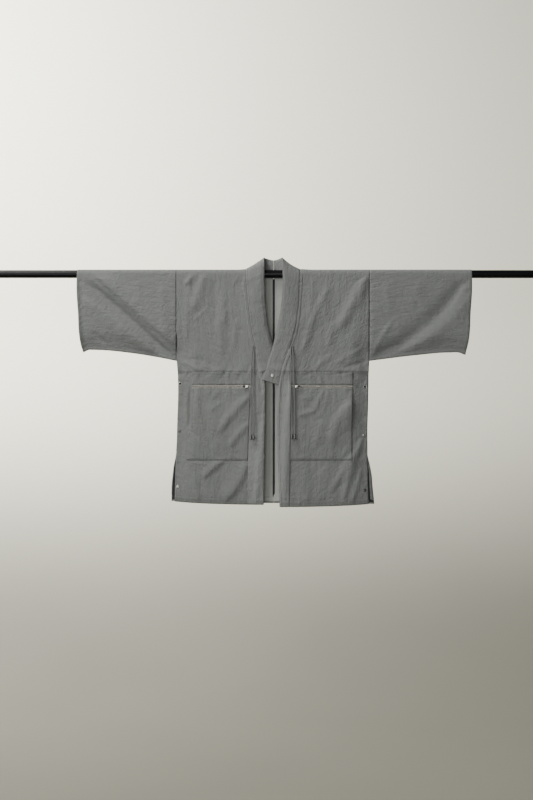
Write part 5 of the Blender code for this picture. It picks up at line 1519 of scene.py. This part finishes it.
def add_eyelet(node, point, normal, look, dark):
    """An eyelet: a rolled ring round a dark disc of painted shade where its hole is."""
    middle, width = (EYELET_RADIUS + EYELET_HOLE) / 2, (EYELET_RADIUS - EYELET_HOLE) / 2
    profile = [(EYELET_RADIUS, -0.0005)]
    for step in range(9):
        turn = math.pi * step / 8
        profile.append((middle + width * math.cos(turn), EYELET_HEIGHT * math.sin(turn)))
    profile += [(EYELET_HOLE * 0.92, -0.0004), (EYELET_HOLE * 0.90, -0.0012)]
    ring = turned(f"{node}_ring", profile, 36, look, point, normal)
    settle(ring, "metal", node)
    # A dark disc in place of a cut hole: painted shade.
    disc = [(EYELET_HOLE * 1.05, 0.0), (EYELET_HOLE, 0.00012)]
    settle(turned(f"{node}_hole", disc, 24, dark, point, normal), "black_metal")


def make_fittings(metal, gunmetal, black_metal, dark):
    """The snaps and eyelets. The upper left snap and the lower right one get the dark gunmetal look, as
    painted shade.
    """
    for side in SIGN:
        inset, z = EYELETS[side]
        x = SIGN[side] * (side_edge("front", side, z) - inset)
        point, normal = seat("front", side, x, z, EYELET_RADIUS)
        add_eyelet(f"eyelet_{side}", point, normal, metal, dark)
        inset, heights = SIDE_SNAPS[side]
        for number, z in enumerate(heights, 1):
            x = SIGN[side] * (side_edge("front", side, z) - inset)
            point, normal = seat("front", side, x, z, SNAP_RADIUS)
            # These snaps are painted dark as painted shade.
            wear_and_shade = (side, number) in SNAPS_IN_SHADE
            add_snap(f"side_snap_{side}_{number}", point, normal, gunmetal if wear_and_shade else metal, "metal")
        z = heights[-1]
        x = SIGN[side] * (side_edge("back", side, z) - VENT_SOCKET_INSET)
        point, normal = seat("back", side, x, z, SNAP_RADIUS, -SHELL / 2)
        add_snap(f"vent_socket_{side}", point, -normal, black_metal, "black_metal")


def state_cuts():
    """Gathers, for each piece of cloth in CUTS, the pieces that are fixed to it, and keeps nothing."""
    pieces = bpy.data.objects
    for kind, sides in CUTS.items():
        for side, (width, length, area) in sides.items():
            fixed = [pieces[name.format(side)] for name in SEWN_ON.get(kind, [])]
            if kind == "back_cloth" and side == "left":
                fixed.append(pieces["centre_tape"])
            if kind == "collar_cloth" and side == "right":
                fixed.append(pieces["collar_snap_cap"])


make_camera()
cloth = cloth_look("coat_cloth", CLOTH_COLOUR)
# The inside look is painted light: the coat's cloth made lighter where its inside lies in shade.
inside_lit_cloth = cloth_look("coat_inside_lit", CLOTH_INSIDE_LIT_COLOUR, 0.05, 0.5)
# The band's look is painted light: the coat's cloth made lighter.
band_lit_cloth = cloth_look("coat_band_lit", CLOTH_BAND_LIT_COLOUR)
looks = [cloth, inside_lit_cloth]
metal = metal_look("nickel", NICKEL_COLOUR, 0.28)
cap_metal = metal_look("dull_nickel", DULL_NICKEL_COLOUR, 0.34)
gunmetal = metal_look("gunmetal", GUNMETAL_COLOUR, 0.32)
black_metal = metal_look("black_enamel", ENAMEL_COLOUR, 0.35, metallic=0.6)
dark = metal_look("painted_hole_shade", HOLE_SHADE_COLOUR, 0.8, metallic=0.0)
binding = tape_look("dark_tape_and_shadow", DARK_TAPE_AND_SHADOW_COLOUR)
zip_tape = tape_look("zip_tape_weave", ZIP_TAPE_COLOUR)
thread = thread_look()
make_cords(cord_look(), gunmetal)
make_stage(stage_look())
make_lights()
for side in SIGN:
    build_front(side, looks)
    build_band(side, [band_lit_cloth, band_lit_cloth])
    build_strip(side, looks)
    build_zip(side, zip_tape, cap_metal)
    build_bag(side, looks)
    build_back(side, looks, binding)
    build_sleeve(side, looks)
    middle, normals = build_collar(side, looks)
    sew_front(side, thread)
    sew_bag(side, thread)
    sew_back(side, thread)
    sew_sleeve(side, thread)
    sew_collar(side, middle, normals, thread)
    if side == "right":
        away = np.linalg.norm(middle[COLLAR_ROWS // 2:, :, ::2] - np.array(COLLAR_SNAP), axis=-1)
        row, column = np.unravel_index(away.argmin(), away.shape)
        row += COLLAR_ROWS // 2
        point = middle[row, column] + normals[row, column] * (COLLAR_THICK / 2 + 0.0003)
        add_snap("collar_snap", point, normals[row, column], cap_metal, "metal")
build_centre_tape(binding)
make_fittings(cap_metal, gunmetal, black_metal, dark)
node_looks = {"rod": rod_look()}
for side in SIGN:
    node_looks[f"zip_slider_{side}"] = metal
    node_looks[f"zip_pull_{side}"] = black_metal
for node, look in node_looks.items():
    frame["nodes"][node].data.materials[0] = look
state_cuts()
